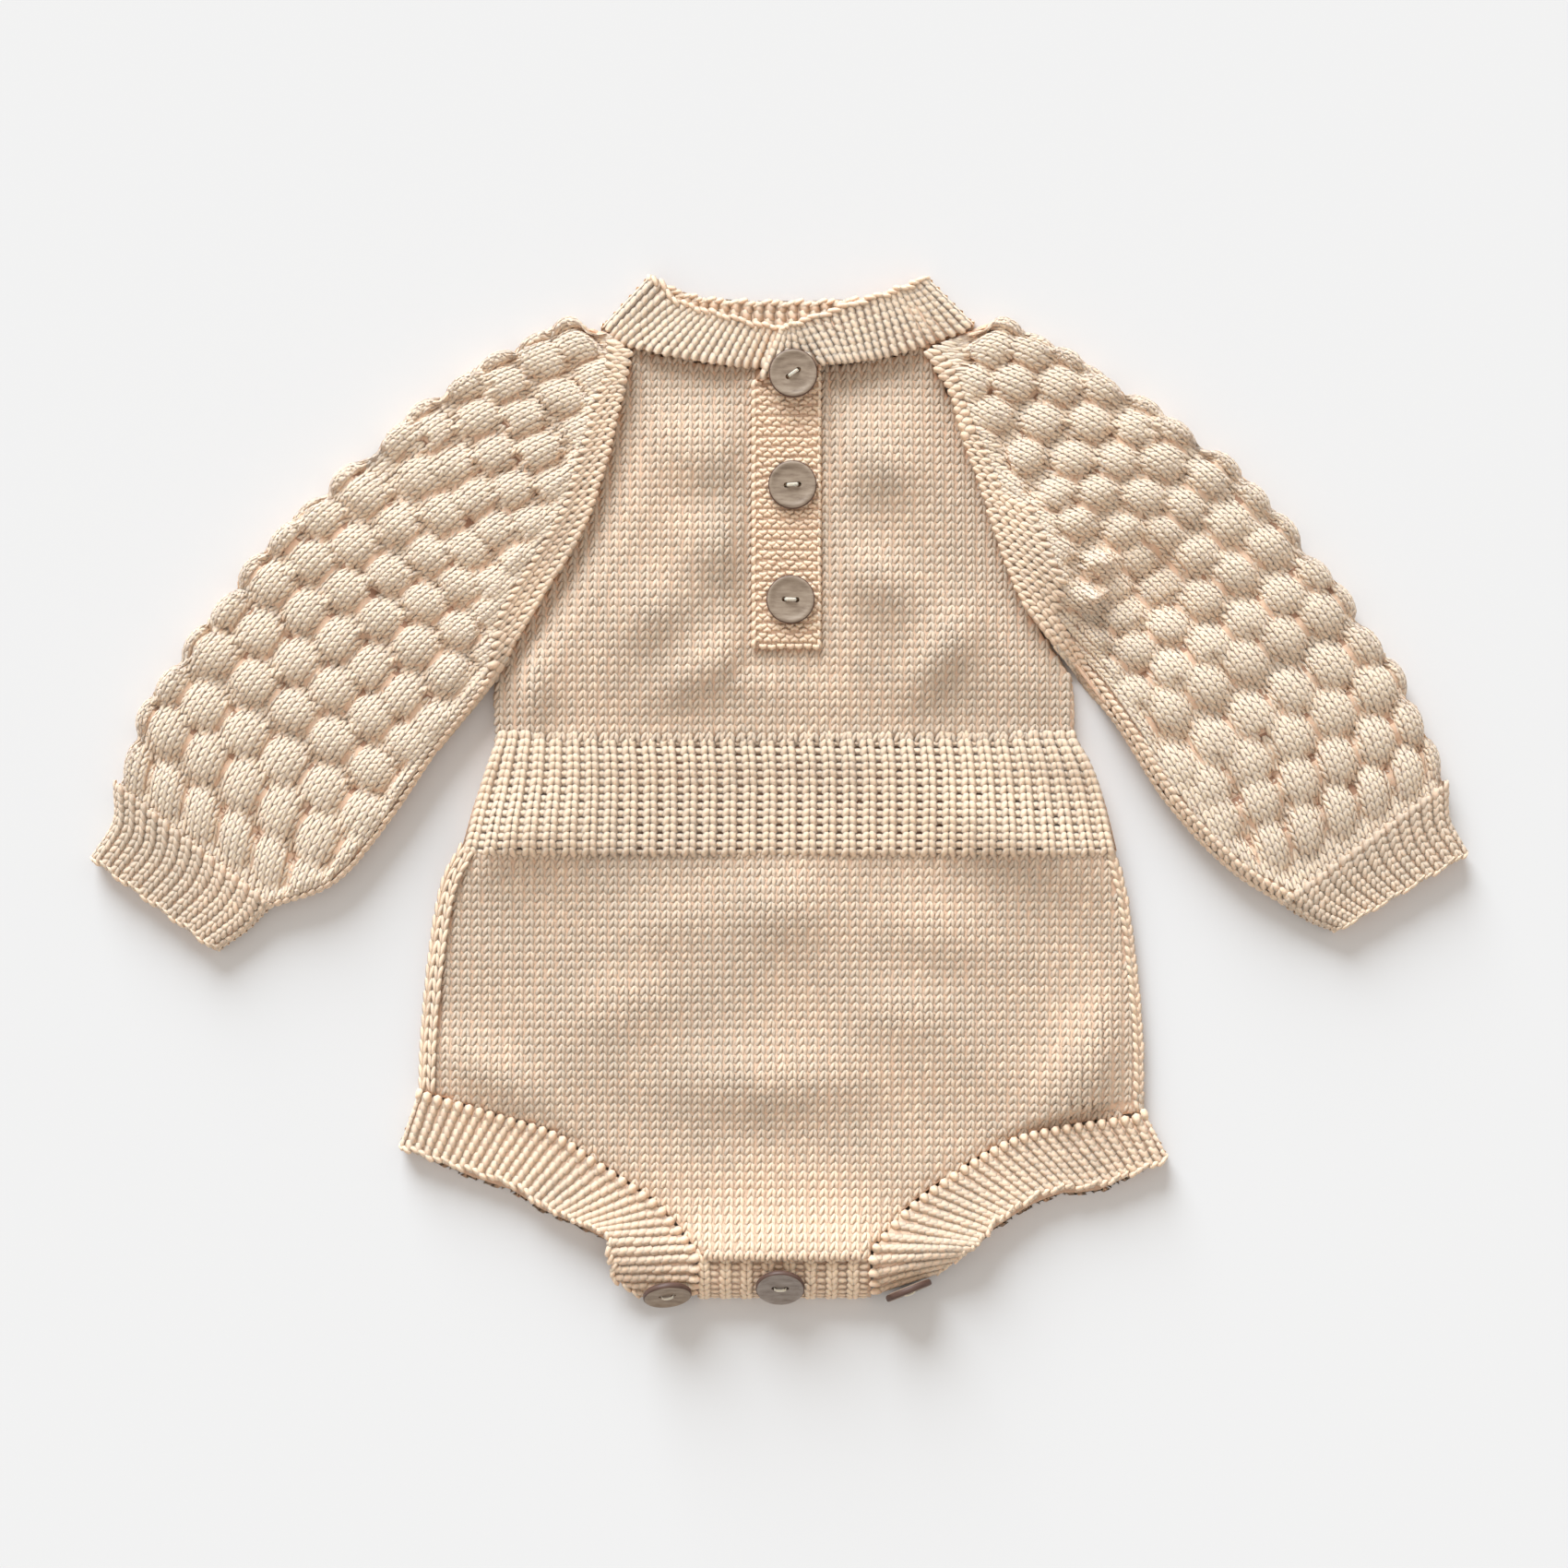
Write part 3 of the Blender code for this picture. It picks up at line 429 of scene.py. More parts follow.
def refine(table, steps, corner=None):
    """The table's rows, with steps - 1 more between each pair on a Catmull-Rom curve. The curve
    turns sharply at the row that corner counts to."""
    if corner is not None:
        above = refine(table[: corner + 1], steps)
        return np.vstack([above[:-1], refine(table[corner:], steps)])
    rows = np.array(table, float)
    ends = np.vstack([2 * rows[0] - rows[1], rows, 2 * rows[-1] - rows[-2]])
    made = []
    for before, start, stop, after in zip(ends, ends[1:], ends[2:], ends[3:]):
        slope = stop - before
        bend = 2 * before - 5 * start + 4 * stop - after
        twist = 3 * start - before - 3 * stop + after
        for t in np.arange(steps) / steps:
            made.append(start + 0.5 * (slope * t + bend * t**2 + twist * t**3))
    made.append(rows[-1])
    return np.array(made)


def smoothstep(share):
    share = np.clip(share, 0.0, 1.0)
    return share * share * (3.0 - 2.0 * share)


def unit(vectors):
    return vectors / np.maximum(np.linalg.norm(vectors, axis=-1, keepdims=True), 1e-9)


def swell(folds, x, y):
    """How far the folds lift the cloth at x, y."""
    lift = np.zeros_like(x)
    for fold in folds:
        turn = radians(fold.turn_deg)
        along = (x - fold.x) * cos(turn) + (y - fold.y) * sin(turn)
        beside = (y - fold.y) * cos(turn) - (x - fold.x) * sin(turn)
        lift += fold.height * np.exp(-((along / fold.length) ** 2) - (beside / fold.width) ** 2)
    return lift


def lift_at(table, folds, x, y):
    """How far the front layer rises off the back one at x, y."""
    rows = sorted(table, key=lambda row: row.left_y + row.right_y)
    level = [0.5 * (row.left_y + row.right_y) for row in rows]
    left, right, edge, crown = (
        np.interp(y, level, [getattr(row, column) for row in rows])
        for column in ("left_x", "right_x", "edge", "crown")
    )
    share = np.clip((x - left) / (right - left), 0.0, 1.0)
    middle = 1.0 - (2.0 * share - 1.0) ** 2
    lift = edge + crown * (1.0 - (1.0 - middle) ** 2)
    lift = lift + swell(folds, x, y) * smoothstep(4.0 * middle)
    return np.maximum(lift, 0.0)


def side_at(table, side, y, corner=None):
    """x of a panel's left or right edge at y."""
    rows = refine(table, 6, corner)
    xs, ys = (rows[:, 0], rows[:, 1]) if side < 0 else (rows[:, 2], rows[:, 3])
    order = np.argsort(ys)
    return np.interp(y, ys[order], xs[order])


# --- Places: where a point at p, q of a piece of cloth lies ---------------------------------------


def flat_place(table, folds, top, relief=None):
    """p and q are x and y of the cloth's upper face."""

    def place(p, q):
        z = top + lift_at(table, folds, p, q)
        if relief is not None:
            z = np.maximum(z + relief(p, q), top - 0.6)
        return np.stack([p, q, z], axis=-1)

    return place


def under_place(level):
    """The underside of a panel that lies on the floor."""

    def place(p, q):
        return np.stack([p, q, np.full_like(p, level)], axis=-1)

    return place


def reach_out(grid, at, by):
    """The grid with one more row at each end, straight on by that much."""
    first, last = grid[0] - grid[1], grid[-1] - grid[-2]
    before = grid[0] + first * (by / (at[1] - at[0]))
    after = grid[-1] + last * (by / (at[-1] - at[-2]))
    grid = np.concatenate([before[None], grid, after[None]])
    return grid, np.concatenate([[at[0] - by], at, [at[-1] + by]])


def grid_place(grid, p_at, q_at, beyond=3.0):
    """p runs along the grid's rows and q from row to row."""
    if beyond:
        grid, q_at = reach_out(grid, np.asarray(q_at, float), beyond)
    rows, columns = grid.shape[:2]

    def place(p, q):
        i = np.interp(q, q_at, np.arange(rows))
        j = np.interp(p, p_at, np.arange(columns))
        i0 = np.clip(i.astype(int), 0, rows - 2)
        j0 = np.clip(j.astype(int), 0, columns - 2)
        fi = (i - i0)[..., None]
        fj = (j - j0)[..., None]
        near = grid[i0, j0] * (1 - fj) + grid[i0, j0 + 1] * fj
        far = grid[i0 + 1, j0] * (1 - fj) + grid[i0 + 1, j0 + 1] * fj
        return near * (1 - fi) + far * fi

    return place


def normal_at(place, p, q, outward, step=0.5):
    across = place(p + step, q) - place(p - step, q)
    along = place(p, q + step) - place(p, q - step)
    return unit(np.cross(across, along)) * outward


def ribbon_place(path, up):
    """A narrow strip along a line of points: p is the way to its right, q the way along it."""
    path = np.asarray(path, float)
    up = unit(np.broadcast_to(np.asarray(up, float), path.shape))
    run = unit(np.gradient(path, axis=0))
    right = unit(np.cross(run, up))
    reach = 12.0
    grid = np.stack([path - right * reach, path, path + right * reach], axis=1)
    return grid_place(grid, np.array([-reach, 0.0, reach]), run_length(path))


def area_under(width, along):
    """Area of a strip whose width is given at each place along it."""
    return float(np.sum(0.5 * (width[1:] + width[:-1]) * np.diff(along)))


def run_length(path):
    steps = np.linalg.norm(np.diff(path, axis=0), axis=1)
    return np.concatenate([[0.0], np.cumsum(steps)])


# --- Stitches -------------------------------------------------------------------------------------


def strands(
    place, p, q, dp, dq, thick, rise=0.0, bow=0.0, outward=1, form=FINE, tone=0.0, sag=0.0,
    flat=FLATNESS,
):
    """One strand of yarn at each p, q, from half of dp, dq before it to half of it after. Its
    middle is moved by bow along p and by sag along q."""
    along, height, fat = (np.array(column) for column in form)
    p, q, dp, dq, thick, rise, bow, tone, sag, flat = np.broadcast_arrays(
        p, q, dp, dq, thick, rise, bow, tone, sag, flat
    )
    bend = 1.0 - 4.0 * along**2
    pp = p[:, None] + dp[:, None] * along + bow[:, None] * bend
    qq = q[:, None] + dq[:, None] * along + sag[:, None] * bend
    normal = normal_at(place, p, q, outward)
    lift = rise[:, None] - SINK + height * thick[:, None]
    path = place(pp, qq) + normal[:, None] * lift[..., None]
    return path, fat * thick[:, None], normal, tone, flat


def knit(
    place, p, q, wide, high, rng, outward=1, form=FINE, rise=0.0, legs=EVEN_LEGS, fat=1.0,
    flat=FLATNESS, tone=0.0,
):
    """Two legs for each stitch, which part along +q, or along -q where high is negative."""
    made = []
    p, q, wide, high, rise = np.broadcast_arrays(p, q, wide, high, rise)
    loose = rng.normal(0.0, 0.035, p.shape)
    for leg in legs:
        shake = rng.normal(0.0, 0.03, (4, *p.shape))
        out = np.sign(leg.aside)
        made.append(
            strands(
                place,
                p + wide * (leg.aside + shake[0]),
                q + high * shake[1],
                out * wide * (leg.lean + shake[2]),
                high * (leg.length + loose),
                wide * (leg.thick * fat + 0.3 * shake[3]),
                rise + leg.rise,
                -out * 0.03 * wide,
                outward,
                form,
                loose * 6.0 + shake[3] * 5.0 + tone,
                0.0,
                flat,
            )
        )
    return made


def leg_faces(points, sides):
    """Faces of one strand as corner numbers, with each face's place on the strand's own map."""
    rings = points - 2
    last = 1 + rings * sides
    faces, maps = [], []
    for s in range(sides):
        faces.append((0, 1 + (s + 1) % sides, 1 + s))
        maps.append(((s + 0.5, 0), (s + 1, 1), (s, 1)))
    for r in range(rings - 1):
        for s in range(sides):
            a = 1 + r * sides + s
            b = 1 + r * sides + (s + 1) % sides
            faces.append((a, b, b + sides, a + sides))
            maps.append(((s, r + 1), (s + 1, r + 1), (s + 1, r + 2), (s, r + 2)))
    start = 1 + (rings - 1) * sides
    for s in range(sides):
        faces.append((last, start + s, start + (s + 1) % sides))
        maps.append(((s + 0.5, points - 1), (s, points - 2), (s + 1, points - 2)))
    return faces, maps


def yarn_piece(name, batches, finish, lowest=None):
    """One mesh with all the strands of the batches."""
    total = sum(len(batch[0]) for batch in batches)
    cells = int(np.ceil(np.sqrt(total)))
    points, tones, corners, starts, maps = [], [], [], [], []
    first_point = first_corner = strand = 0
    for path, radius, normal, tone, flatness in batches:
        count, length = path.shape[:2]
        run = unit(np.gradient(path, axis=1))
        side = unit(np.cross(run, normal[:, None]))
        lift = np.cross(side, run)
        turn = pi / 2 + np.arange(SIDES) * 2 * pi / SIDES
        ring = side[:, 1:-1, None] * np.cos(turn)[:, None]
        ring += lift[:, 1:-1, None] * np.sin(turn)[:, None] * flatness[:, None, None, None]
        ring = path[:, 1:-1, None] + ring * radius[:, 1:-1, None, None]
        body = np.concatenate([path[:, :1], ring.reshape(count, -1, 3), path[:, -1:]], axis=1)
        faces, face_maps = leg_faces(length, SIDES)
        flat = np.array([corner for face in faces for corner in face])
        sizes = np.array([len(face) for face in faces])
        leg_maps = np.array([spot for face in face_maps for spot in face], float)
        leg_maps /= (SIDES, length - 1)
        each = body.shape[1]
        offsets = first_point + np.arange(count) * each
        corners.append((offsets[:, None] + flat).ravel())
        begin = np.concatenate([[0], np.cumsum(sizes)[:-1]])
        loops = first_corner + np.arange(count) * len(flat)
        starts.append((loops[:, None] + begin).ravel())
        spot = strand + np.arange(count)
        cell = np.stack([spot % cells, spot // cells], axis=-1)[:, None]
        maps.append(((cell + 0.08 + 0.84 * leg_maps) / cells).reshape(-1, 2))
        points.append(body.reshape(-1, 3))
        tones.append(np.repeat(tone, each))
        first_point += count * each
        first_corner += count * len(flat)
        strand += count
    where = np.concatenate(points)
    if lowest is not None:
        where[:, 2] = np.maximum(where[:, 2], lowest)
    corners, starts = np.concatenate(corners), np.concatenate(starts)
    mesh = bpy.data.meshes.new(name)
    mesh.vertices.add(len(where))
    mesh.vertices.foreach_set("co", (where * MM).astype(np.float32).ravel())
    mesh.loops.add(len(corners))
    mesh.loops.foreach_set("vertex_index", corners.astype(np.int32))
    mesh.polygons.add(len(starts))
    mesh.polygons.foreach_set("loop_start", starts.astype(np.int32))
    mesh.update(calc_edges=True)
    # A strand's foot is flat, so that the shading of its two upper faces doesn't run under it
    mesh.polygons.foreach_set("use_smooth", np.arange(len(starts)) % SIDES != 1)
    layer = mesh.uv_layers.new(name="OFBake")
    layer.data.foreach_set("uv", np.concatenate(maps).astype(np.float32).ravel())
    shade = mesh.attributes.new("tone", "FLOAT", "POINT")
    shade.data.foreach_set("value", np.concatenate(tones).astype(np.float32))
    mesh.materials.append(finish)
    return show(name, mesh)


def show(name, mesh):
    made = bpy.data.objects.new(name, mesh)
    bpy.context.scene.collection.objects.link(made)
    return made


def backing(node, finish, sink=BACKING_SINK, sideways=0.3, stand=None):
    """Thin cloth on the form of a node, drawn in so that the stitches stand on it. stand says how
    far its upper face is lifted at x, y."""
    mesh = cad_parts[node].data.copy()
    mesh.name = node + "_backing"
    shape = bmesh.new()
    shape.from_mesh(mesh)
    bmesh.ops.remove_doubles(shape, verts=shape.verts, dist=2e-6)
    bmesh.ops.recalc_face_normals(shape, faces=shape.faces)
    if shape.calc_volume(signed=True) < 0.0:
        bmesh.ops.reverse_faces(shape, faces=shape.faces)
    shape.normal_update()
    moves = [(v, v.normal * Vector((sideways, sideways, 1.0))) for v in shape.verts]
    for vertex, move in moves:
        if stand is not None and vertex.co.z > 6.4 * MM:
            vertex.co.z += float(stand(vertex.co.x / MM, vertex.co.y / MM)) * MM
        vertex.co -= move * sink * MM
    shape.to_mesh(mesh)
    shape.free()
    mesh.materials.clear()
    mesh.materials.append(finish)
    mesh.shade_smooth()
    return show(node + "_backing", mesh)


def wall(name, outer, inner, finish):
    """A closed wall between two grids of points."""
    rows, columns = outer.shape[:2]
    count = rows * columns
    points = np.concatenate([outer.reshape(-1, 3), inner.reshape(-1, 3)]) * MM
    cells = []
    for r in range(rows - 1):
        for c in range(columns - 1):
            first = r * columns + c
            cells.append((first, first + 1, first + columns + 1, first + columns))
    edges = {(cell[i], cell[(i + 1) % 4]) for cell in cells for i in range(4)}
    rim = [(a, b) for a, b in edges if (b, a) not in edges]
    faces = list(cells)
    faces += [tuple(corner + count for corner in reversed(cell)) for cell in cells]
    faces += [(b, a, a + count, b + count) for a, b in sorted(rim)]
    mesh = bpy.data.meshes.new(name)
    mesh.from_pydata(points.tolist(), [], faces)
    shape = bmesh.new()
    shape.from_mesh(mesh)
    if shape.calc_volume(signed=True) < 0.0:
        bmesh.ops.reverse_faces(shape, faces=shape.faces)
    shape.to_mesh(mesh)
    shape.free()
    mesh.materials.append(finish)
    mesh.shade_smooth()
    return show(name, mesh)


def panel_wall(name, table, place, corner=None, columns=90, margin=0.7):
    """A thin backing cloth for a panel, under its stitches."""
    rows = refine(table, 6, corner)
    share = np.linspace(0.0, 1.0, columns)
    left, right = rows[:, 0, None] + margin, rows[:, 2, None] - margin
    x = left + share * (right - left)
    y = rows[:, 1, None] + share * (rows[:, 3] - rows[:, 1])[:, None]
    y = y - rows[:, 4, None] * (1.0 - (2.0 * share - 1.0) ** 2)
    outer = place(x, y) - (0.0, 0.0, BACKING_SINK)
    return wall(name, outer, outer - (0.0, 0.0, BACKING_DEPTH), backing_shade_yarn())


def finish_cloth(node, cloth, stitches, area):
    """Says what the pieces of one node are: the backing cloth and the stitches on it."""
    for piece in (cloth, *stitches):
        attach(piece, "root")
        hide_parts(node)


# --- Materials ------------------------------------------------------------------------------------


def node(tree, kind, settings=None, links=None):
    """Adds a node with its settings, and links its inputs to other nodes' outputs."""
    made = tree.nodes.new(kind)
    for name, value in (settings or {}).items():
        if hasattr(made, name):
            setattr(made, name, value)
        else:
            made.inputs[name].default_value = value
    for name, (source, output) in (links or {}).items():
        tree.links.new(source.outputs[output], made.inputs[name])
    return made


def tint(colour, shares):
    return tuple(min(part * share, 1.0) for part, share in zip(colour, shares))


def new_material(name, colour, roughness):
    made = bpy.data.materials.new(name)
    made.use_nodes = True
    made.diffuse_color = (*colour, 1.0)
    shader = made.node_tree.nodes["Principled BSDF"]
    shader.inputs["Roughness"].default_value = roughness
    shader.inputs["IOR"].default_value = 1.5
    return made, made.node_tree, shader


def ramp(tree, stops, source, output):
    """A colour ramp through stops of place and linear colour."""
    made = node(tree, "ShaderNodeValToRGB", None, {"Fac": (source, output)})
    band = made.color_ramp
    while len(band.elements) < len(stops):
        band.elements.new(0.5)
    for element, (place, colour) in zip(band.elements, stops):
        element.position = place
        element.color = (*colour, 1.0)
    return made


def cotton_yarn(name, colour):
    """Undyed cotton, plied and washed: a soft matt yarn. Its colour drifts a little from strand to
    strand and along the cloth, and a short nap catches light at its edges."""
    if name in bpy.data.materials:
        return bpy.data.materials[name]
    made, tree, shader = new_material(name, colour, 0.86)
    where = node(tree, "ShaderNodeTexCoord")
    tone = node(tree, "ShaderNodeAttribute", {"attribute_name": "tone"})
    drift = node(
        tree,
        "ShaderNodeTexNoise",
        {"Scale": 24.0, "Detail": 3.0, "Roughness": 0.6},
        {"Vector": (where, "Object")},
    )
    fleck = node(
        tree,
        "ShaderNodeTexNoise",
        {"Scale": 620.0, "Detail": 4.0, "Roughness": 0.65},
        {"Vector": (where, "Object")},
    )
    mixed = node(
        tree,
        "ShaderNodeMath",
        {"operation": "MULTIPLY_ADD"},
        {0: (drift, "Fac"), 2: (fleck, "Fac")},
    )
    mixed.inputs[1].default_value = 0.7
    shifted = node(
        tree,
        "ShaderNodeMath",
        {"operation": "MULTIPLY_ADD"},
        {0: (tone, "Fac"), 2: (mixed, 0)},
    )
    shifted.inputs[1].default_value = 0.22
    spread = node(
        tree,
        "ShaderNodeMapRange",
        {"From Min": 0.45, "From Max": 1.3, "To Min": 0.0, "To Max": 1.0},
        {"Value": (shifted, 0)},
    )
    stops = ((0.0, tint(colour, DARKER)), (0.5, colour), (1.0, tint(colour, LIGHTER)))
    shade = ramp(tree, stops, spread, "Result")
    tree.links.new(shade.outputs["Color"], shader.inputs["Base Color"])
    shader.inputs["Sheen Weight"].default_value = 0.08
    shader.inputs["Sheen Roughness"].default_value = 0.5
    shader.inputs["Sheen Tint"].default_value = (*hex_colour("#FFF4E2"), 1.0)
    shader.inputs["Specular IOR Level"].default_value = 0.12
    shader.inputs["Subsurface Weight"].default_value = 0.5
    shader.inputs["Subsurface Radius"].default_value = (1.0, 0.8, 0.64)
    shader.inputs["Subsurface Scale"].default_value = 0.0006
    fibres = node(
        tree,
        "ShaderNodeTexNoise",
        {"Scale": 1500.0, "Detail": 3.0, "Roughness": 0.7},
        {"Vector": (where, "Object")},
    )
    bump = node(
        tree,
        "ShaderNodeBump",
        {"Strength": 0.5, "Distance": 0.0003},
        {"Height": (fibres, "Fac")},
    )
    tree.links.new(bump.outputs["Normal"], shader.inputs["Normal"])
    return made


def front_yarn():
    return cotton_yarn("undyed cotton yarn", tuple(bpy.context.scene.romper.yarn_colour))


def shaded_yarn(where, shares):
    """The same yarn where less light comes back out of the cloth."""
    colour = tint(bpy.context.scene.romper.yarn_colour, shares)
    return cotton_yarn("undyed cotton yarn, " + where, colour)


def backing_shade_yarn():
    return shaded_yarn("between the stitches", BACKING_SHADE)


def rib_trough_shade_yarn():
    return shaded_yarn("between the ribs", RIB_TROUGH_SHADE)


def pit_shade_yarn():
    return shaded_yarn("in the pits", PIT_SHADE)


def coconut_shell(name, shares=(1.0, 1.0, 1.0)):
    """Coconut shell, turned and waxed: dull brown with darker flecks and a faint straight grain."""
    if name in bpy.data.materials:
        return bpy.data.materials[name]
    colour = tint(bpy.context.scene.romper.shell_colour, shares)
    made, tree, shader = new_material(name, colour, 0.5)
    where = node(tree, "ShaderNodeTexCoord")
    stretch = node(
        tree,
        "ShaderNodeMapping",
        {"Scale": (160.0, 700.0, 300.0)},
        {"Vector": (where, "Object")},
    )
    grain = node(
        tree,
        "ShaderNodeTexNoise",
        {"Scale": 1.0, "Detail": 5.0, "Roughness": 0.65},
        {"Vector": (stretch, "Vector")},
    )
    stops = ((0.3, tint(colour, SHELL_DARKER)), (0.5, colour), (0.72, tint(colour, SHELL_LIGHTER)))
    shade = ramp(tree, stops, grain, "Fac")
    tree.links.new(shade.outputs["Color"], shader.inputs["Base Color"])
    bump = node(
        tree,
        "ShaderNodeBump",
        {"Strength": 0.3, "Distance": 0.0002},
        {"Height": (grain, "Fac")},
    )
    tree.links.new(bump.outputs["Normal"], shader.inputs["Normal"])
    shader.inputs["Specular IOR Level"].default_value = 0.4
    return made


# --- Panels ---------------------------------------------------------------------------------------


def stitch_grid(low_x, high_x, low_y, high_y, wale, row):
    p = np.arange(low_x + 0.5 * wale, high_x, wale)
    q = np.arange(low_y + 0.5 * row, high_y, row)
    return (grid.ravel() for grid in np.meshgrid(p, q))


def side_path(table, side, height, inset, corner=None, last=None):
    """The line along one side of a panel."""
    rows = refine(table[:last], 6, corner)
    columns = (0, 1) if side < 0 else (2, 3)
    path = rows[:, columns]
    line = np.column_stack([path[:, 0] - side * inset, path[:, 1], np.full(len(path), height)])
    return line


def knit_panel(
    table, place, wale, row, seed, tone_at, corner=None, inside=None, sides=(0.0, 0.0)
):
    """Plain stitches on the upper face of a panel, clipped to its outline. sides is how far they
    stay from its left and right edges, as numbers or for each stitch's y."""
    rng = np.random.default_rng(seed)
    ys = [row_.left_y for row_ in table] + [row_.right_y for row_ in table]
    reach = max(abs(row_.left_x) for row_ in table), max(row_.right_x for row_ in table)
    p, q = stitch_grid(-reach[0], reach[1], min(ys) - 1.5, max(ys) + 2.0, wale, row)
    left, right = (side(q) if callable(side) else side for side in sides)
    keep = (p > side_at(table, -1, q, corner) + left + 0.3 * wale)
    keep &= p < side_at(table, 1, q, corner) - right - 0.3 * wale
    if inside is not None:
        keep &= inside(p, q)
    p, q = p[keep], q[keep]
    return knit(place, p, q, wale, -row, rng, legs=WORN_LEGS, tone=tone_at(p, q))


def knit_under(table, wale, row, seed, level=0.0, corner=None, inside=None):
    """Plainer stitches on the underside of a back panel."""
    rng = np.random.default_rng(seed)
    ys = [row_.left_y for row_ in table] + [row_.right_y for row_ in table]
    reach = max(abs(row_.left_x) for row_ in table), max(row_.right_x for row_ in table)
    p, q = stitch_grid(-reach[0], reach[1], min(ys), max(ys), wale, row)
    keep = (p > side_at(table, -1, q, corner) + 1.5) & (p < side_at(table, 1, q, corner) - 1.5)
    if inside is not None:
        keep &= inside(p, q)
    return knit(under_place(level), p[keep], q[keep], wale, row, rng, outward=-1, form=PLAINER)


def seam_chain(path, up, pitch, wide, seed, form=FINE, columns=(0.0,), rise=0.0):
    """Columns of stitches along a seam or an edge."""
    rng = np.random.default_rng(seed)
    place = ribbon_place(path, up)
    length = run_length(np.asarray(path))[-1]
    q = np.arange(0.5 * pitch, length, pitch)
    made = []
    for column in columns:
        made += knit(place, column, q, wide, pitch, rng, 1, form, rise)
    return made


def join(batches):
    """Batches of like strands, as one."""
    kinds = {}
    for batch in batches:
        kinds.setdefault(batch[0].shape[1], []).append(batch)
    return [tuple(np.concatenate(parts) for parts in zip(*same)) for same in kinds.values()]


def area_of(table, corner=None):
    """Area of a panel in plan."""
    rows = refine(table, 4, corner)
    edge = np.vstack([rows[:, :2], rows[::-1, 2:4]])
    x, y = edge[:, 0], edge[:, 1]
    return 0.5 * abs(np.dot(x, np.roll(y, -1)) - np.dot(y, np.roll(x, -1)))


def body_relief(x, y):
    """Dips under the waist's proud edge and beside the leg bands."""
    under_waist = 1.5 * np.exp(-(((y + 20.0) / 16.0) ** 2))
    left = side_at(LOWER_BODY, -1, y, HIP_ROW)
    right = side_at(LOWER_BODY, 1, y, HIP_ROW)
    beside = np.minimum(x - left, right - x)
    leg = -0.7 * np.exp(-((beside / 7.0) ** 2)) * smoothstep((-108.0 - y) / 8.0)
    return under_waist + leg * smoothstep((y + 166.0) / 8.0)


def waist_roll(y):
    """The waist bulges where the rib begins."""
    return 1.7 * np.exp(-(((y - 12.0) / 8.0) ** 2))


def body_tone(_, y):
    """The yarn is rubbed up where the crotch rolls over."""
    return PANEL_TONE + 1.5 * smoothstep((-122.0 - y) / 40.0)


def above_legs(y):
    """1 beside the side seams and 0 beside the leg bands."""
    return smoothstep((y + 112.0) / 2.0)


def make_lower_body():
    settings = bpy.context.scene.romper
    wale, row = settings.wale / MM, settings.row / MM
    top = FRONT_PLAIN + PLAIN
    place = flat_place(LOWER_BODY, BODY_FOLDS + BODY_SHADES + WAIST_FOLDS, top, body_relief)
    cloth = panel_wall("front_lower_body_backing", LOWER_BODY, place, HIP_ROW)
    front = knit_panel(
        LOWER_BODY, place, wale, row, 11, body_tone, HIP_ROW, None,
        (lambda y: 5.0 * above_legs(y) - 1.4, lambda y: 3.2 * above_legs(y) - 1.4),
    )
    sides = []
    left = side_path(LOWER_BODY, -1, 0.0, 2.4, None, HIP_ROW + 1)[::-1]
    left[:, 2] = place(left[:, 0], left[:, 1])[:, 2] + 0.3
    sides += seam_chain(left, (-0.55, 0.0, 1.0), 4.6, 3.6, 12, FINE, (-1.8, 1.8), 0.2)
    right = side_path(LOWER_BODY, 1, 0.0, 1.6, None, HIP_ROW + 1)[::-1]
    right[:, 2] = place(right[:, 0], right[:, 1])[:, 2] - 0.1
    sides += seam_chain(right, (0.45, 0.0, 1.0), 3.6, 4.4, 13)
    stitches = yarn_piece("front_lower_body_stitches", join(front + sides), front_yarn())
    finish_cloth(
        "front_lower_body", cloth, [stitches],
        area_of(LOWER_BODY, HIP_ROW),
    )
    back_table = LOWER_BODY[: LAST_BACK_ROW + 1]
    back_cloth = backing("back_lower_body", backing_shade_yarn())
    under = knit_under(back_table, wale, row, 14, 0.0, HIP_ROW)
    edges = []
    for side, seed in ((-1, 15), (1, 16)):
        line = side_path(LOWER_BODY, side, 1.5, 0.5, None, HIP_ROW + 1)[:: side]
        edges += seam_chain(line, (side * 1.0, 0.0, 0.0), 3.6, 3.4, seed)
    back = yarn_piece("back_lower_body_stitches", join(under + edges), front_yarn(), 0.02)
    finish_cloth(
        "back_lower_body", back_cloth, [back],
        area_of(back_table, HIP_ROW),
    )


def waist_place(top, ridge, count):
    """p is the rib's number across the waist, q is y. The ribs keep their width in the middle and
    crowd together towards the sides, where the waist is narrower."""
    rows = refine(WAIST_RIB, 6)[::-1]
    widest = 0.5 * (rows[0, 2] - rows[0, 0])

    def place(p, q):
        left = np.interp(q, rows[:, 1], rows[:, 0])
        right = np.interp(q, rows[:, 3], rows[:, 2])
        half = 0.5 * (right - left)
        share = 2.0 * p / count - 1.0
        crowd = widest / half - 1.0
        x = 0.5 * (left + right) + half * ((1.0 + crowd) * share - crowd * share**5)
        z = top + lift_at(WAIST_RIB, WAIST_FOLDS, x, q) - 0.5 * ridge * (np.cos(2 * pi * p) + 1.0)
        z += waist_roll(q) + 0.7 * np.exp(-(((q + 19.0) / 5.0) ** 2))
        z -= 0.9 * (1.0 - smoothstep((q - WAIST_FOOT) / 3.0))
        return np.stack([x, q, z], axis=-1)

    return place


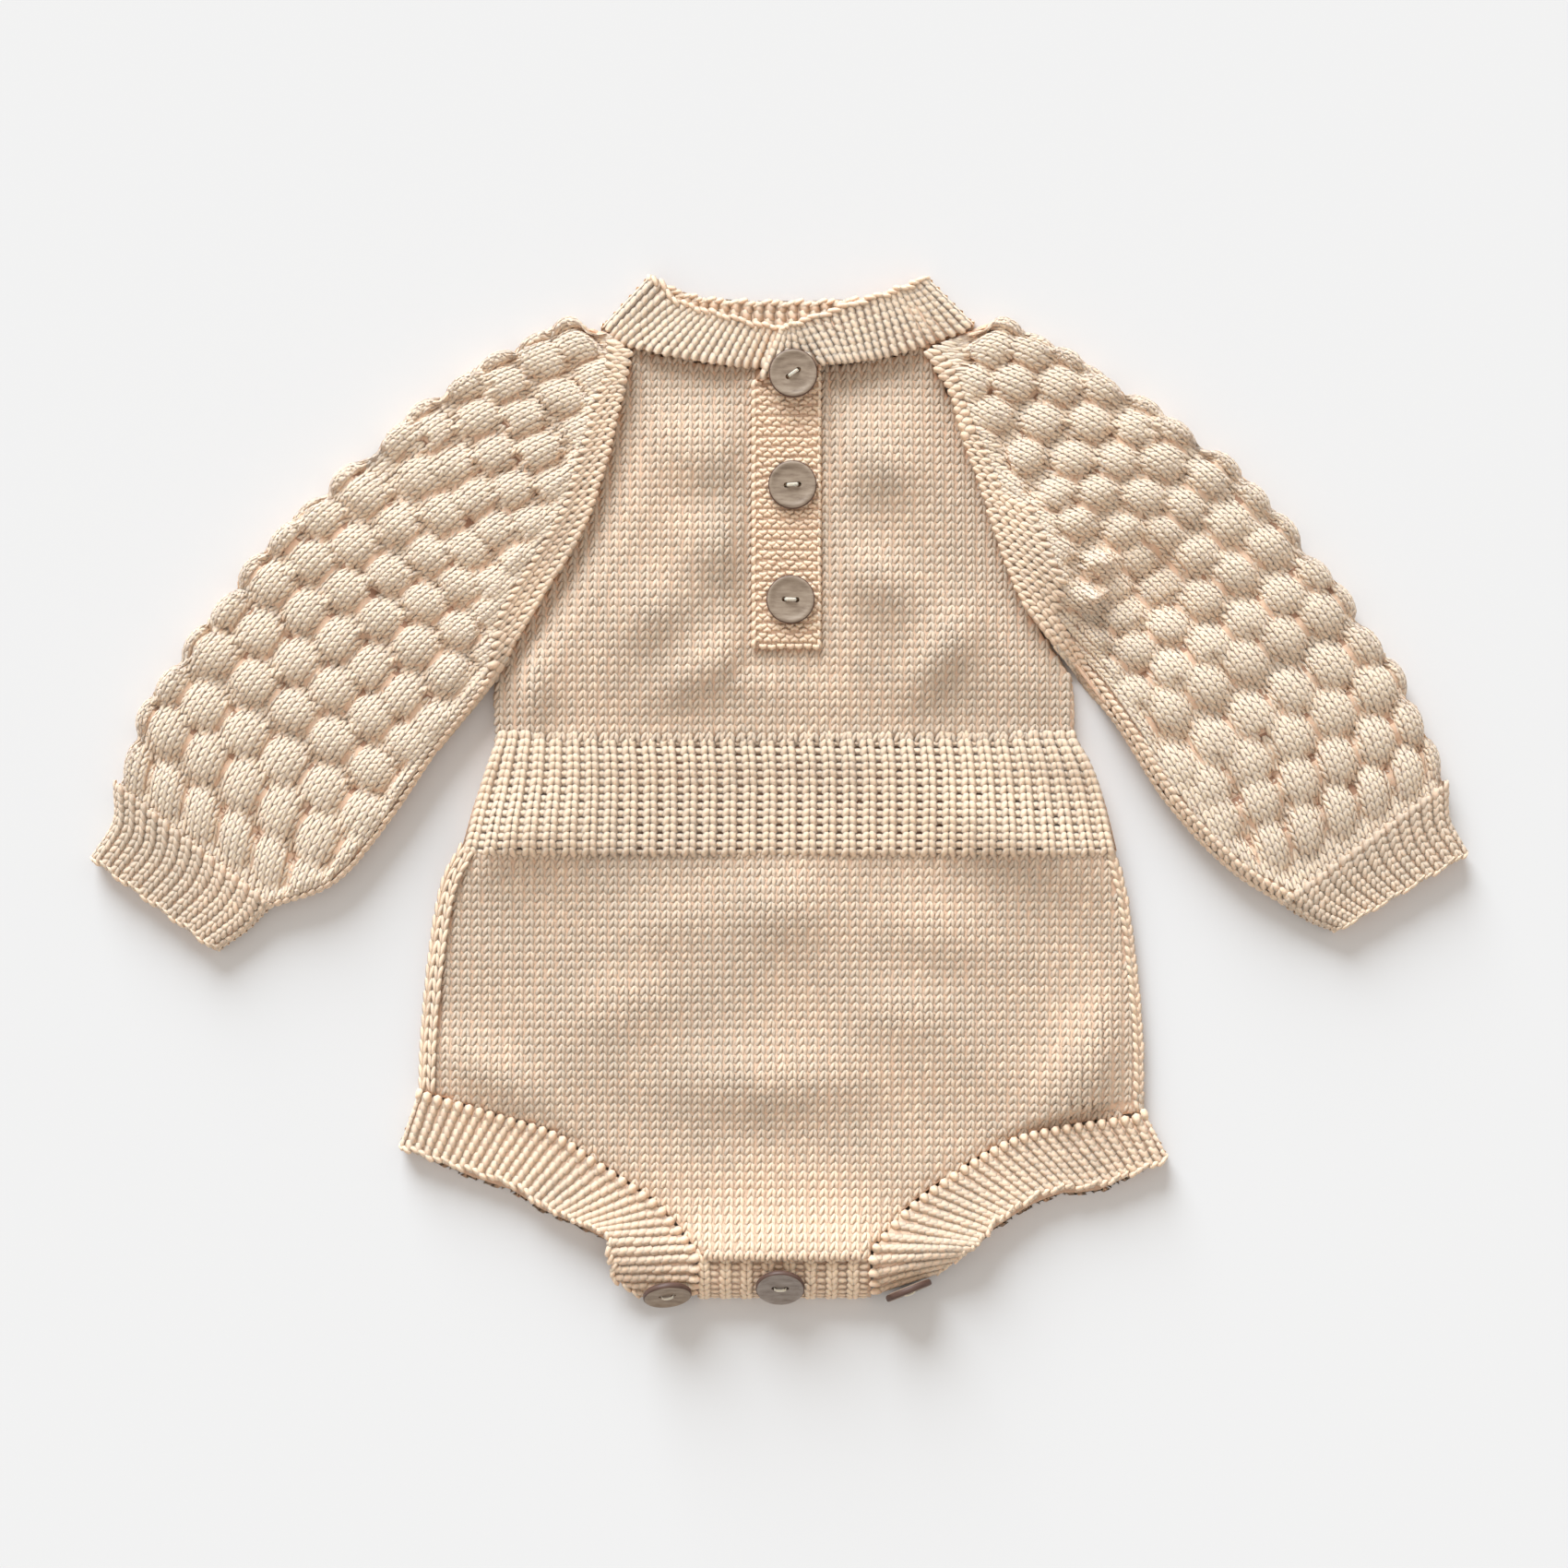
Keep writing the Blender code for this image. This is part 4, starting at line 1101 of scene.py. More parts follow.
def make_waist_rib():
    rng = np.random.default_rng(21)
    settings = bpy.context.scene.romper
    count = int(round(WAIST_WIDTH / (settings.rib_pitch / MM)))
    top = FRONT_RIB + RIB + 0.5
    place = waist_place(top, 0.8, count)
    rows = int((WAIST_HEAD - WAIST_FOOT) / WAIST_ROW)
    row = (WAIST_HEAD - WAIST_FOOT) / rows
    q = WAIST_FOOT + (np.arange(rows) + 0.5) * row
    made = []
    columns, qq = (grid.ravel() for grid in np.meshgrid(np.arange(count) + 0.5, q))
    # Across the waist p counts ribs, so the strands' thickness is given in millimetres
    for out, lean, fat, length in ((-1, 0.26, 1.65, 1.45), (1, 0.22, 1.75, 1.6)):
        shake = rng.normal(0.0, 0.03, (4, *columns.shape))
        made.append(
            strands(
                place,
                columns + out * 0.18 + 0.3 * shake[0],
                qq + row * shake[1],
                out * (lean + 0.5 * shake[2]),
                -row * length,
                fat + 0.9 * shake[3],
                0.1,
                0.0,
                1,
                FINE,
                shake[3] * 6.0 + RIB_TONE,
                0.0,
                WAIST_FLAT,
            )
        )
    # Purl bars in the troughs between the ribs, in yarn darkened as painted shade
    troughs, qt = (grid.ravel() for grid in np.meshgrid(np.arange(1.0, count), q))
    shake = rng.normal(0.0, 0.04, (2, *troughs.shape))
    closing = smoothstep((np.abs(troughs - 0.5 * count) - 0.22 * count) / (0.08 * count))
    made.append(
        strands(
            place, troughs, qt + shake[0] * row, 0.5, 0.0, 1.4 + 0.3 * closing, 0.15, 0.0, 1, CORD,
            TROUGH_SHADE_TONE, 0.0, TROUGH_FLAT,
        )
    )
    # The rib's backing shows between the ribs in darker yarn: painted shade
    cloth = backing("front_waist_rib", rib_trough_shade_yarn(), 0.7, 0.3, lambda x, y: waist_roll(y))
    stitches = yarn_piece("front_waist_rib_stitches", join(made), front_yarn())
    finish_cloth(
        "front_waist_rib", cloth, [stitches],
        area_of(WAIST_RIB),
    )
    back_cloth = backing("back_waist_rib", backing_shade_yarn())
    p, qq = (grid.ravel() for grid in np.meshgrid(np.arange(count) + 0.5, q))
    left = side_at(WAIST_RIB, -1, qq)
    right = side_at(WAIST_RIB, 1, qq)
    x = left + p / count * (right - left)
    under = knit(under_place(0.0), x, qq, 3.9, row, rng, -1, PLAINER, 0.2)
    for side, seed in ((-1, 22), (1, 23)):
        line = side_path(WAIST_RIB, side, 3.0, 0.4)[:: side]
        under += seam_chain(line, (side * 1.0, 0.0, 0.15), 3.0, 5.0, seed)
    back = yarn_piece("back_waist_rib_stitches", join(under), front_yarn(), 0.02)
    finish_cloth(
        "back_waist_rib", back_cloth, [back],
        area_of(WAIST_RIB),
    )


def neck_line(x):
    """y of the bodice's upper edge."""
    row = BODICE[-1]
    share = (x - row.left_x) / (row.right_x - row.left_x)
    return row.left_y - row.dip * (1.0 - (2.0 * share - 1.0) ** 2)


def bodice_relief(x, y):
    """Valleys beside the raglan seams and below the neckband, and rises between them."""
    beside = np.minimum(x - side_at(BODICE, -1, y), side_at(BODICE, 1, y) - x)
    clear = smoothstep((np.abs(x - 3.4) - 11.0) / 14.0)
    clear = np.maximum(clear, smoothstep((OVER_FOOT - 4.0 - y) / 10.0))
    middle = 3.8 * smoothstep((beside - 5.0) / 17.0) * smoothstep((neck_line(x) - y) / 30.0)
    middle *= 0.62 + 0.38 * smoothstep((y - 24.0) / 26.0)
    shades = swell(BODICE_SHADES, x, y) * smoothstep((beside - 4.0) / 12.0)
    seam = -0.5 * np.exp(-(((beside - 5.0) / 6.0) ** 2))
    neck = -0.5 * np.exp(-(((neck_line(x) - y) / 15.0) ** 2))
    return middle * (0.32 + 0.68 * clear) + shades * clear + seam + neck + waist_roll(y)


def bodice_tone(x, y):
    """The yarn looks darker in the valleys beside the raglan seams and below the neckband."""
    beside = np.minimum(x - side_at(BODICE, -1, y), side_at(BODICE, 1, y) - x)
    seams = np.exp(-((beside / 11.0) ** 2))
    neck = np.exp(-(((neck_line(x) - y) / 12.0) ** 2))
    return PANEL_TONE - np.maximum(1.0 * seams, 1.4 * neck)


def make_bodice():
    settings = bpy.context.scene.romper
    wale, row = settings.wale / MM, settings.row / MM
    top = FRONT_PLAIN + PLAIN

    def clear_of_placket(p, q):
        open_slot = (p > SLOT_LEFT - 1.4) & (p < SLOT_RIGHT + 0.6) & (q > OVER_FOOT + 1.0)
        return ~open_slot & (q < neck_line(p) + 1.5)

    place = flat_place(BODICE, BODICE_FOLDS, top, bodice_relief)
    cloth = panel_wall("front_bodice_backing", BODICE, place)
    front = knit_panel(
        BODICE, place, wale, row, 31, bodice_tone, None, clear_of_placket, (-0.9, -0.9)
    )
    stitches = yarn_piece("front_bodice_stitches", join(front), front_yarn())
    finish_cloth(
        "front_bodice", cloth, [stitches],
        area_of(BODICE) * BESIDE_SLOT,
    )
    back_cloth = backing("back_bodice", backing_shade_yarn())
    under = knit_under(BODICE, wale, row, 32, 0.0, None, lambda p, q: q < neck_line(p) - 0.5)
    for side, seed in ((-1, 33), (1, 34)):
        line = side_path(BODICE, side, 2.8, 0.3, None, 3)[:: side]
        under += seam_chain(line, (side * 1.0, 0.0, 0.2), 3.4, 4.6, seed)
    back = yarn_piece("back_bodice_stitches", join(under), front_yarn(), 0.02)
    finish_cloth(
        "back_bodice", back_cloth, [back], area_of(BODICE)
    )


# --- Sleeves and cuffs ----------------------------------------------------------------------------


def section_line(row):
    """Outer line of a flattened tube's section, from the seam over the top, round the fold and back
    underneath: the way from the seam, and the height at each point."""
    closed = min(max(row.closed, 0.0), 1.0)
    width = float(np.hypot(row.outer_x - row.inner_x, row.outer_y - row.inner_y))
    fold = 0.5 * row.height
    flat = width - fold
    reach = np.concatenate([np.linspace(0.0, 0.3, 16) ** 1.3, np.linspace(0.3, 1.0, 14)[1:]]) * flat
    turns = np.linspace(pi / 2, -pi / 2, 17)
    round_edge = np.sqrt(1.0 - (1.0 - np.clip(reach / fold, 0.0, 1.0)) ** 2)
    slope = smoothstep(reach / RAGLAN_RISE)
    half_seam = 0.5 * SEAM
    tube_top = fold + half_seam + (fold - half_seam) * round_edge
    edge_top = FRONT_PLAIN + PLAIN + SEAM_SWELL * slope
    flat_top = edge_top + (row.height - edge_top) * slope
    top = flat_top + (tube_top - flat_top) * closed
    bottom = (fold - half_seam) * (1.0 - round_edge) * closed
    away = np.concatenate([reach, (flat + fold * np.cos(turns))[1:-1], reach[::-1]])
    height = np.concatenate([top, (fold + fold * np.sin(turns))[1:-1], bottom[::-1]])
    return away, height


Tube = namedtuple("Tube", "grid p_at q_at top_width under_width outward")


def tube(table, steps, spacing=1.2):
    """A sleeve's or cuff's outer face. p is the way round from the outer fold, over the top (+) or
    underneath (-); q is the way along the outer fold from its upper end."""
    rows = [Section(*row) for row in refine(table, steps)]
    outer = np.array([[row.outer_x, row.outer_y] for row in rows])
    q_at = run_length(outer)
    lines = []
    for row in rows:
        away, height = section_line(row)
        around = run_length(np.column_stack([away, height]))
        tip = around[int(np.argmax(away))]
        lap = RAGLAN_LAP * (1.0 - min(max(row.closed, 0.0), 1.0))
        lines.append((away, height, tip - around, tip + lap, around[-1] - tip))
    widest = max(max(line[3], line[4]) for line in lines) + 2.0
    p_at = np.arange(-widest, widest + spacing, spacing)
    grid = []
    for row, (away, height, p_line, _, _) in zip(rows, lines):
        past = np.clip(p_at - p_line[0], 0.0, None) * (1.0 - min(max(row.closed, 0.0), 1.0))
        q = np.interp(p_at, p_line[::-1], away[::-1]) - past
        z = np.interp(p_at, p_line[::-1], height[::-1]) - 0.12 * past
        inner = np.array([row.inner_x, row.inner_y])
        line = unit(np.array([row.outer_x, row.outer_y]) - inner)
        grid.append(np.column_stack([inner + q[:, None] * line, z]))
    grid = np.array(grid)
    top_width = np.array([line[3] for line in lines])
    under_width = np.array([line[4] for line in lines])
    outward = -1 if rows[0].outer_x < 0 else 1
    return Tube(grid, p_at, q_at, top_width, under_width, outward)


def grid_normals(grid, outward):
    across = np.gradient(grid, axis=1)
    along = np.gradient(grid, axis=0)
    return unit(np.cross(across, along)) * outward


def bubble_height(form, table, border):
    """How much of a bubble's full height the cloth has at each point of the sleeve, from 0 in the
    valleys to 1 on top, with the dropped stitches' pits between."""
    top = form.p_at > 2.0
    plan = form.grid[:, top, :2]
    p_top = form.p_at[top]
    centres = []
    for row in table:
        ends = []
        for x, y in ((row.first_x, row.first_y), (row.last_x, row.last_y)):
            miss = np.hypot(plan[..., 0] - x, plan[..., 1] - y)
            i, j = np.unravel_index(np.argmin(miss), miss.shape)
            ends.append((p_top[j], form.q_at[i]))
        (p0, q0), (p1, q1) = ends
        step = (p1 - p0) / (row.count - 1)
        drop = (q1 - q0) / (row.count - 1)
        for k in range(-14, row.count + 2):
            fade = k if k > -1 else -1 + 0.25 * (k + 1)
            centres.append((p0 + k * step, q0 + fade * drop, step))
    p, q = np.meshgrid(form.p_at, form.q_at)
    height = np.zeros_like(p)
    pits = np.zeros_like(p)
    for centre_p, centre_q, step in centres:
        if not -form.p_at[-1] < centre_p < form.p_at[-1]:
            continue
        a = (p - centre_p) / (BUBBLE_HALF_WIDTH * step)
        b = (q - centre_q) / BUBBLE_HALF_LENGTH
        dome = np.clip(1.0 - a**2 - b**2, 0.0, 1.0) ** 0.6
        height = np.maximum(height, dome)
        pit = ((p - centre_p - 0.5 * step) / 1.7) ** 2 + ((q - centre_q + 5.4) / 1.5) ** 2
        pits = np.maximum(pits, np.exp(-pit))
    edge = form.top_width[:, None] - border(form.q_at)[:, None] - p
    under = form.under_width[:, None] + p - 3.0
    taper = smoothstep(edge / 7.0) * smoothstep(under / 7.0)
    taper *= 0.35 + 0.65 * smoothstep((form.q_at[-1] - q) / 14.0) * smoothstep((q + 3.0) / 16.0)
    return height, pits, taper


def make_sleeve(name, table, bubbles, border_rows, seed, tucks=()):
    """border_rows: q along the fold and the width of the plain border beside the seam there."""
    rng = np.random.default_rng(seed)
    settings = bpy.context.scene.romper
    swell_height = settings.bubble_height / MM
    form = tube(table, 12)

    def border_at(q):
        return np.interp(q, *zip(*border_rows))

    height, pits, taper = bubble_height(form, bubbles, border_at)
    out = grid_normals(form.grid, form.outward)
    flatter = 0.55 + 0.45 * smoothstep((form.p_at + 8.0) / 8.0)
    move = swell_height * flatter * taper * (height - 1.0) - 1.5 * pits * taper
    grid = form.grid + out * move[..., None]
    pit_at = grid_place(pits[..., None] * taper[..., None], form.p_at, form.q_at)
    dome_at = grid_place(1.0 - taper[..., None] * (1.0 - height[..., None]), form.p_at, form.q_at)
    if tucks:
        upper = smoothstep((form.p_at - 2.0) / 6.0)
        grid[..., 2] += swell(tucks, grid[..., 0], grid[..., 1]) * upper
    past_seam = form.top_width[:, None] - form.p_at[None, :]
    raglan = 1.0 - np.clip(np.array(refine(table, 12))[:, 5], 0.0, 1.0)
    stand = BORDER_STAND * raglan[:, None] * np.exp(-((past_seam / 11.0) ** 2)) * (form.p_at > 4.0)
    grid[..., 2] = np.maximum(grid[..., 2] + stand, 0.6)
    place = grid_place(grid, form.p_at, form.q_at)
    wale, row = settings.sleeve_wale / MM, settings.sleeve_row / MM
    widest = form.p_at[-1]
    p, q = stitch_grid(-widest, widest, 0.0, form.q_at[-1], wale, row)
    top_edge = np.interp(q, form.q_at, form.top_width)
    under_edge = np.interp(q, form.q_at, form.under_width)
    border = border_at(q)
    keep = (p < top_edge - border + 1.2) & (p > -under_edge + 3.0)
    keep &= pit_at(p, q)[..., 0] < 0.62
    p, q = p[keep], q[keep]
    seen = p > -9.0
    # Painted light and shade: lighter yarn on the bubbles' tops, darker in the valleys between them
    tone = PAINTED_LIGHT_TONE * (2.4 * dome_at(p[seen], q[seen])[..., 0] - 0.6)
    made = knit(
        place, p[seen], q[seen], wale, row, rng, form.outward, FLUFFY, 0.2, FLUFFY_LEGS, 1.0,
        SLEEVE_FLAT, tone,
    )
    hidden = knit(place, p[~seen], q[~seen], wale, row, rng, form.outward, PLAINER)
    # Border columns run along the seam
    total = form.q_at[-1]
    seam = run_length(place(form.top_width, form.q_at))
    qb = np.interp(np.arange(1.6, seam[-1], BORDER_ROW), seam, form.q_at)
    pitch = np.gradient(qb)
    edge = np.interp(qb, form.q_at, form.top_width)
    strip = border_at(qb)
    columns = np.maximum(np.round(strip / 4.0), 1.0)
    for number in range(int(columns.max())):
        keep = columns > number
        wide = (strip / columns)[keep]
        aside = wide * (number + 0.5) - 0.6
        made += knit(
            place, edge[keep] - aside, qb[keep], wide * 1.06, pitch[keep], rng, form.outward,
            FINE, 0.45, tone=RIB_TONE,
        )
    closed = np.interp(qb, form.q_at, np.array(refine(table, 12))[:, 5]) > 0.4
    made += knit(
        place, (edge - 0.2)[closed], qb[closed], 3.9, pitch[closed], rng, form.outward, FINE, 0.2
    )
    stitches = yarn_piece(name + "_stitches", join(made + hidden), front_yarn(), 0.02)
    # Backing, in yarn darkened as painted shade, darkest in the pits
    outer, inner, deep = [], [], []
    for i in range(len(form.q_at)):
        p_line = np.linspace(-form.under_width[i], form.top_width[i], 100)
        q_line = np.full(100, form.q_at[i])
        normal = normal_at(place, p_line, q_line, form.outward, 1.2)
        spot = place(p_line, q_line)
        skin = spot - normal * 0.35
        extra = np.interp(p_line, form.p_at, stand[i])
        lining = spot - normal * 1.3 - extra[:, None] * (0.0, 0.0, 1.0)
        skin[:, 2] = np.maximum(skin[:, 2], 0.02)
        lining[:, 2] = np.maximum(lining[:, 2], 0.2)
        outer.append(skin)
        inner.append(lining)
        deep.append(pit_at(p_line, q_line)[..., 0] > 0.35)
    cloth = wall(name + "_backing", np.array(outer), np.array(inner), backing_shade_yarn())
    # Faces over the pits take the darkest yarn: painted shade in the holes
    cloth.data.materials.append(pit_shade_yarn())
    deep = np.array(deep)
    cells = deep[:-1, :-1].ravel()
    marks = np.zeros(len(cloth.data.polygons), np.int32)
    marks[: len(cells)] = cells
    cloth.data.polygons.foreach_set("material_index", marks)
    length = float(total)
    around = float(np.max(form.top_width + form.under_width))
    mean = float(area_under(form.top_width + form.under_width, form.q_at) * BENT_SLEEVE)
    area = min(mean, around * length)
    finish_cloth(name, cloth, [stitches], area)


def make_sleeves():
    make_sleeve(
        "left_sleeve", LEFT_SLEEVE, LEFT_BUBBLES,
        ((0.0, 8.0), (25.0, 12.0), (120.0, 12.0), (150.0, 4.6), (260.0, 4.6)), 41,
    )
    make_sleeve(
        "right_sleeve", RIGHT_SLEEVE, RIGHT_BUBBLES,
        (
            (0.0, 4.0), (30.0, 6.0), (56.0, 8.0), (72.0, 19.0), (110.0, 19.0), (124.0, 8.6),
            (260.0, 8.6),
        ),
        42, RIGHT_TUCK,
    )


def make_cuff(name, table, seed):
    rng = np.random.default_rng(seed)
    form = tube(table, 10, 0.8)
    place = grid_place(form.grid, form.p_at, form.q_at)
    total = form.q_at[-1]
    pitch = bpy.context.scene.romper.narrow_rib / MM
    made = []
    around = form.top_width[0] + form.under_width[0]
    count = int(round(around / (pitch * 1.4)))
    shares = (np.arange(count) + 0.5) / count
    rows = int(round((total + CUFF_LAP) / BAND_ROW))
    row = (total + CUFF_LAP) / rows
    q = (np.arange(rows) + 0.5) * row - CUFF_LAP
    top = np.interp(q, form.q_at, form.top_width)
    under = np.interp(q, form.q_at, form.under_width)
    p = -under + shares[:, None] * (top + under)
    for column in p:
        fine = column.mean() > -8.0
        local = (top + under) / count
        made += knit(
            place, column, q, local * 0.84, row, rng, form.outward,
            CORD if fine else PLAINER, 0.3, EVEN_LEGS, 1.15, BAND_FLAT, CUFF_TONE,
        )
    # Rolled cast-off edge, its yarn lightened as a painted highlight
    edge_count = int((form.top_width[-1] + form.under_width[-1]) / 3.1)
    p_edge = np.linspace(-form.under_width[-1], form.top_width[-1], edge_count)
    spacing = p_edge[1] - p_edge[0]
    q_edge = total - 0.2 + 0.7 * np.sin(0.5 * p_edge)
    made.append(
        strands(
            place, p_edge, q_edge, spacing * 1.5, 0.9, 1.2, 0.1, 0.0, form.outward, FINE,
            PAINTED_LIGHT_TONE, 0.0, CUFF_EDGE_FLAT,
        )
    )
    stitches = yarn_piece(name + "_stitches", join(made), front_yarn(), 0.02)
    cloth = backing(name, backing_shade_yarn(), 0.2)
    widths = form.top_width + form.under_width
    flat = (float(widths.max()), float(total))
    area = float(area_under(widths, form.q_at))
    finish_cloth(name, cloth, [stitches], min(area, flat[0] * flat[1]))


def make_cuffs():
    make_cuff("left_cuff", LEFT_CUFF, 51)
    make_cuff("right_cuff", RIGHT_CUFF, 52)


# --- Bands ----------------------------------------------------------------------------------------


def inset(station, side):
    """The station moved in by the fold's radius, so that the fold reaches the outline."""
    line = np.array([station.root_x - station.rim_x, station.root_y - station.rim_y])
    line = line / np.linalg.norm(line) * 0.5 * (FRONT_RIB + RIB)
    move_x, move_y = side * line[1], -side * line[0]
    return station._replace(
        rim_x=station.rim_x + move_x,
        rim_y=station.rim_y + move_y,
        root_x=station.root_x + move_x,
        root_y=station.root_y + move_y,
    )


def fold_lines(station, side):
    """Rim and root points round a band's fold, from the front layer down to the back layer."""
    rim = np.array([station.rim_x, station.rim_y])
    root = np.array([station.root_x, station.root_y])
    line = (root - rim) / np.linalg.norm(root - rim)
    normal = side * np.array([-line[1], line[0]])
    radius = 0.5 * (FRONT_RIB + RIB)
    made = []
    for turn in np.linspace(pi / 2, -pi / 2, 13)[1:-1]:
        out = normal * radius * cos(turn)
        z = radius + radius * sin(turn)
        made.append(((*(rim + out), z), (*(root + out), z)))
    return made


def station_lines(table, steps, drop=0.0):
    """Rim and root points of a band along one layer."""
    made = []
    for row in refine(table, steps):
        row = Station(*row)
        rim = (row.rim_x, row.rim_y, row.rim_z - drop)
        made.append((rim, (row.root_x, row.root_y, row.root_z - drop)))
    return made


def leg_stations(rims, side):
    """The band's free edge with the end of each row of the lower body that it is picked up on."""
    stations = []
    for rim, row in zip(rims, LOWER_BODY[HIP_ROW:]):
        root = np.array([row.left_x, row.left_y] if side < 0 else [row.right_x, row.right_y])
        out = np.array([rim.x, rim.y]) - root
        root = root + PICK_UP * out / np.linalg.norm(out)
        root_z = max(FRONT_RIB + RIB, FRONT_PLAIN + PLAIN + row.edge + 0.4)
        stations.append(Station(rim.x, rim.y, *root, rim.z, root_z))
    return stations


def band_form(lines, cells=8):
    """A band's face: p is the way along it, q the way from its rim (0) to its root (1)."""
    lines = np.array(lines)
    share = np.linspace(0.0, 1.0, cells + 1)[None, :, None]
    grid = lines[:, :1] + share * (lines[:, 1:] - lines[:, :1])
    middle = grid[:, cells // 2]
    width = np.linalg.norm(lines[:, 1] - lines[:, 0], axis=1)
    return np.swapaxes(grid, 0, 1), run_length(middle), width


def knit_band(
    lines, pitch, rng, outward, form=CORD, row=BAND_ROW, beads=True, edge=True, rise=0.3,
    cord=0.5, flat=BAND_FLAT,
):
    """Ribs across a band, each drawn together into one twisted cord, with beads where the band is
    picked up and an edge where it is cast off. cord is a rib's thickness as a share of its
    pitch."""
    grid, p_at, width_at = band_form(lines)
    place = grid_place(grid, p_at, np.linspace(0.0, 1.0, grid.shape[0]), 0.15)
    total = p_at[-1]
    count = max(int(round(total / pitch)), 2)
    step = total / count
    made = []
    for p in (np.arange(count) + 0.5) * step:
        width = float(np.interp(p, p_at, width_at))
        rows = max(int(round(width / row)), 1)
        q = (np.arange(rows) + 0.5) / rows
        shake = rng.normal(0.0, 0.03, (4, rows))
        made.append(
            strands(
                place,
                p + step * shake[0],
                q + shake[1] / rows,
                -outward * step * (0.32 + shake[2]),
                1.75 / rows,
                step * (cord + 0.4 * shake[3]),
                rise,
                0.0,
                outward,
                form,
                shake[3] * 6.0 + RIB_TONE,
                0.0,
                flat,
            )
        )
    # The beads and the cast-off edge are in lighter yarn: painted highlight where they stand up
    if beads:
        p = (np.arange(count) + 0.5) * step
        local = np.interp(p, p_at, width_at)
        made.append(
            strands(
                place, p, 1.0 - 0.3 / local, step * 0.3, 4.4 / local, step * 0.56, 0.6, 0.0,
                outward, form, PAINTED_LIGHT_TONE, 0.0, EDGE_FLAT,
            )
        )
    if edge:
        along_edge = int(total / CAST_OFF)
        p = (np.arange(along_edge) + 0.5) * total / along_edge
        made.append(
            strands(
                place, p, 0.03 * np.sin(0.55 * p), 1.5 * total / along_edge, 0.07, 1.35, 0.5,
                0.0, outward, form, PAINTED_LIGHT_TONE, 0.0, EDGE_FLAT,
            )
        )
    return made


def make_leg_band(name, front_rims, end, back_rims, side, seed):
    rng = np.random.default_rng(seed)
    front = leg_stations(front_rims, side)
    back = [station._replace(root_z=RIB) for station in leg_stations(back_rims, side)]
    front[0] = inset(front[0], -side)
    back[0] = front[0]._replace(rim_z=RIB, root_z=RIB)
    pitch = bpy.context.scene.romper.narrow_rib / MM
    upper = station_lines((*reversed(end), *reversed(front)), 6)
    upper += fold_lines(front[0], -side)[:6]
    lower = fold_lines(front[0], -side)[5:] + station_lines(back, 6, RIB)
    made = knit_band(upper, pitch, rng, side)
    made += knit_band(lower, pitch, rng, side, PLAINER, 4.0)
    stitches = yarn_piece(name + "_stitches", join(made), front_yarn(), 0.02)
    cloth = backing(name, backing_shade_yarn(), 0.2)
    _, along, width = band_form(upper)
    _, along_back, width_back = band_form(lower)
    area = float(area_under(width, along) + area_under(width_back, along_back))
    finish_cloth(name, cloth, [stitches], area)


def make_leg_bands():
    make_leg_band("left_leg_band", LEFT_LEG_FRONT, LEFT_LEG_END, LEFT_LEG_BACK, -1, 61)
    make_leg_band("right_leg_band", RIGHT_LEG_FRONT, RIGHT_LEG_END, RIGHT_LEG_BACK, 1, 62)


def neck_stand(x, y):
    """How far the front of the neckband stands off the bodice, most along its lower edge."""
    front = smoothstep((x - 10.0) / 18.0) + smoothstep((-8.0 - x) / 16.0)
    front = front * smoothstep((58.0 - abs(x)) / 14.0)
    return front * (NECK_STAND - 0.09 * np.clip(y - 156.0, 0.0, 30.0))


def stand_up(lines):
    """A band's lines, lifted as neck_stand says."""
    return [
        tuple((x, y, z + float(neck_stand(x, y))) for x, y, z in line)
        for line in lines
    ]


def make_neckband():
    rng = np.random.default_rng(71)
    right = inset(NECK_RIGHT_FRONT[-1], 1)
    left = inset(NECK_LEFT_FRONT[0], -1)
    low_right = right._replace(rim_z=RIB, root_z=RIB)
    low_left = left._replace(rim_z=RIB, root_z=RIB)
    over = station_lines((*NECK_RIGHT_FRONT[:-1], right), 8) + fold_lines(right, 1)[:6]
    under = fold_lines(left, -1)[:6][::-1] + station_lines((left, *NECK_LEFT_FRONT[1:]), 8)
    behind = station_lines((low_right, *NECK_BACK[1:-1], low_left), 6)
    outside = (
        fold_lines(right, 1)[5:]
        + station_lines((low_right, *NECK_BACK[1:-1], low_left), 6, RIB)
        + fold_lines(left, -1)[5:][::-1]
    )
    made = []
    for lines in (over, under):
        made += knit_band(
            stand_up(lines), NECK_RIB, rng, -1, beads=False, rise=0.1, cord=0.58, flat=NECK_FLAT
        )
    made += knit_band(behind, NECK_RIB_INSIDE, rng, 1, beads=False)
    made += knit_band(outside, NECK_RIB_BEHIND, rng, -1, PLAINER, 4.0)
    stitches = yarn_piece("neckband_stitches", join(made), front_yarn(), 0.02)
    cloth = backing("neckband", backing_shade_yarn(), 0.45, 0.3, neck_stand)
    total, area, widest = 0.0, 0.0, 0.0
    for lines in (over, under, outside):
        _, along, width = band_form(lines)
        total += float(along[-1])
        area += float(area_under(width, along))
        widest = max(widest, float(width.max()))
    finish_cloth("neckband", cloth, [stitches], area)


def roll_line(turn_deg, depth=0.0):
    """y and z of the crotch's roll."""
    turn = radians(turn_deg)
    rise = CROTCH_TOP - ROLL_FOOT
    return ROLL_START - (ROLL_REACH - depth) * sin(turn), ROLL_FOOT + (rise - depth) * cos(turn)


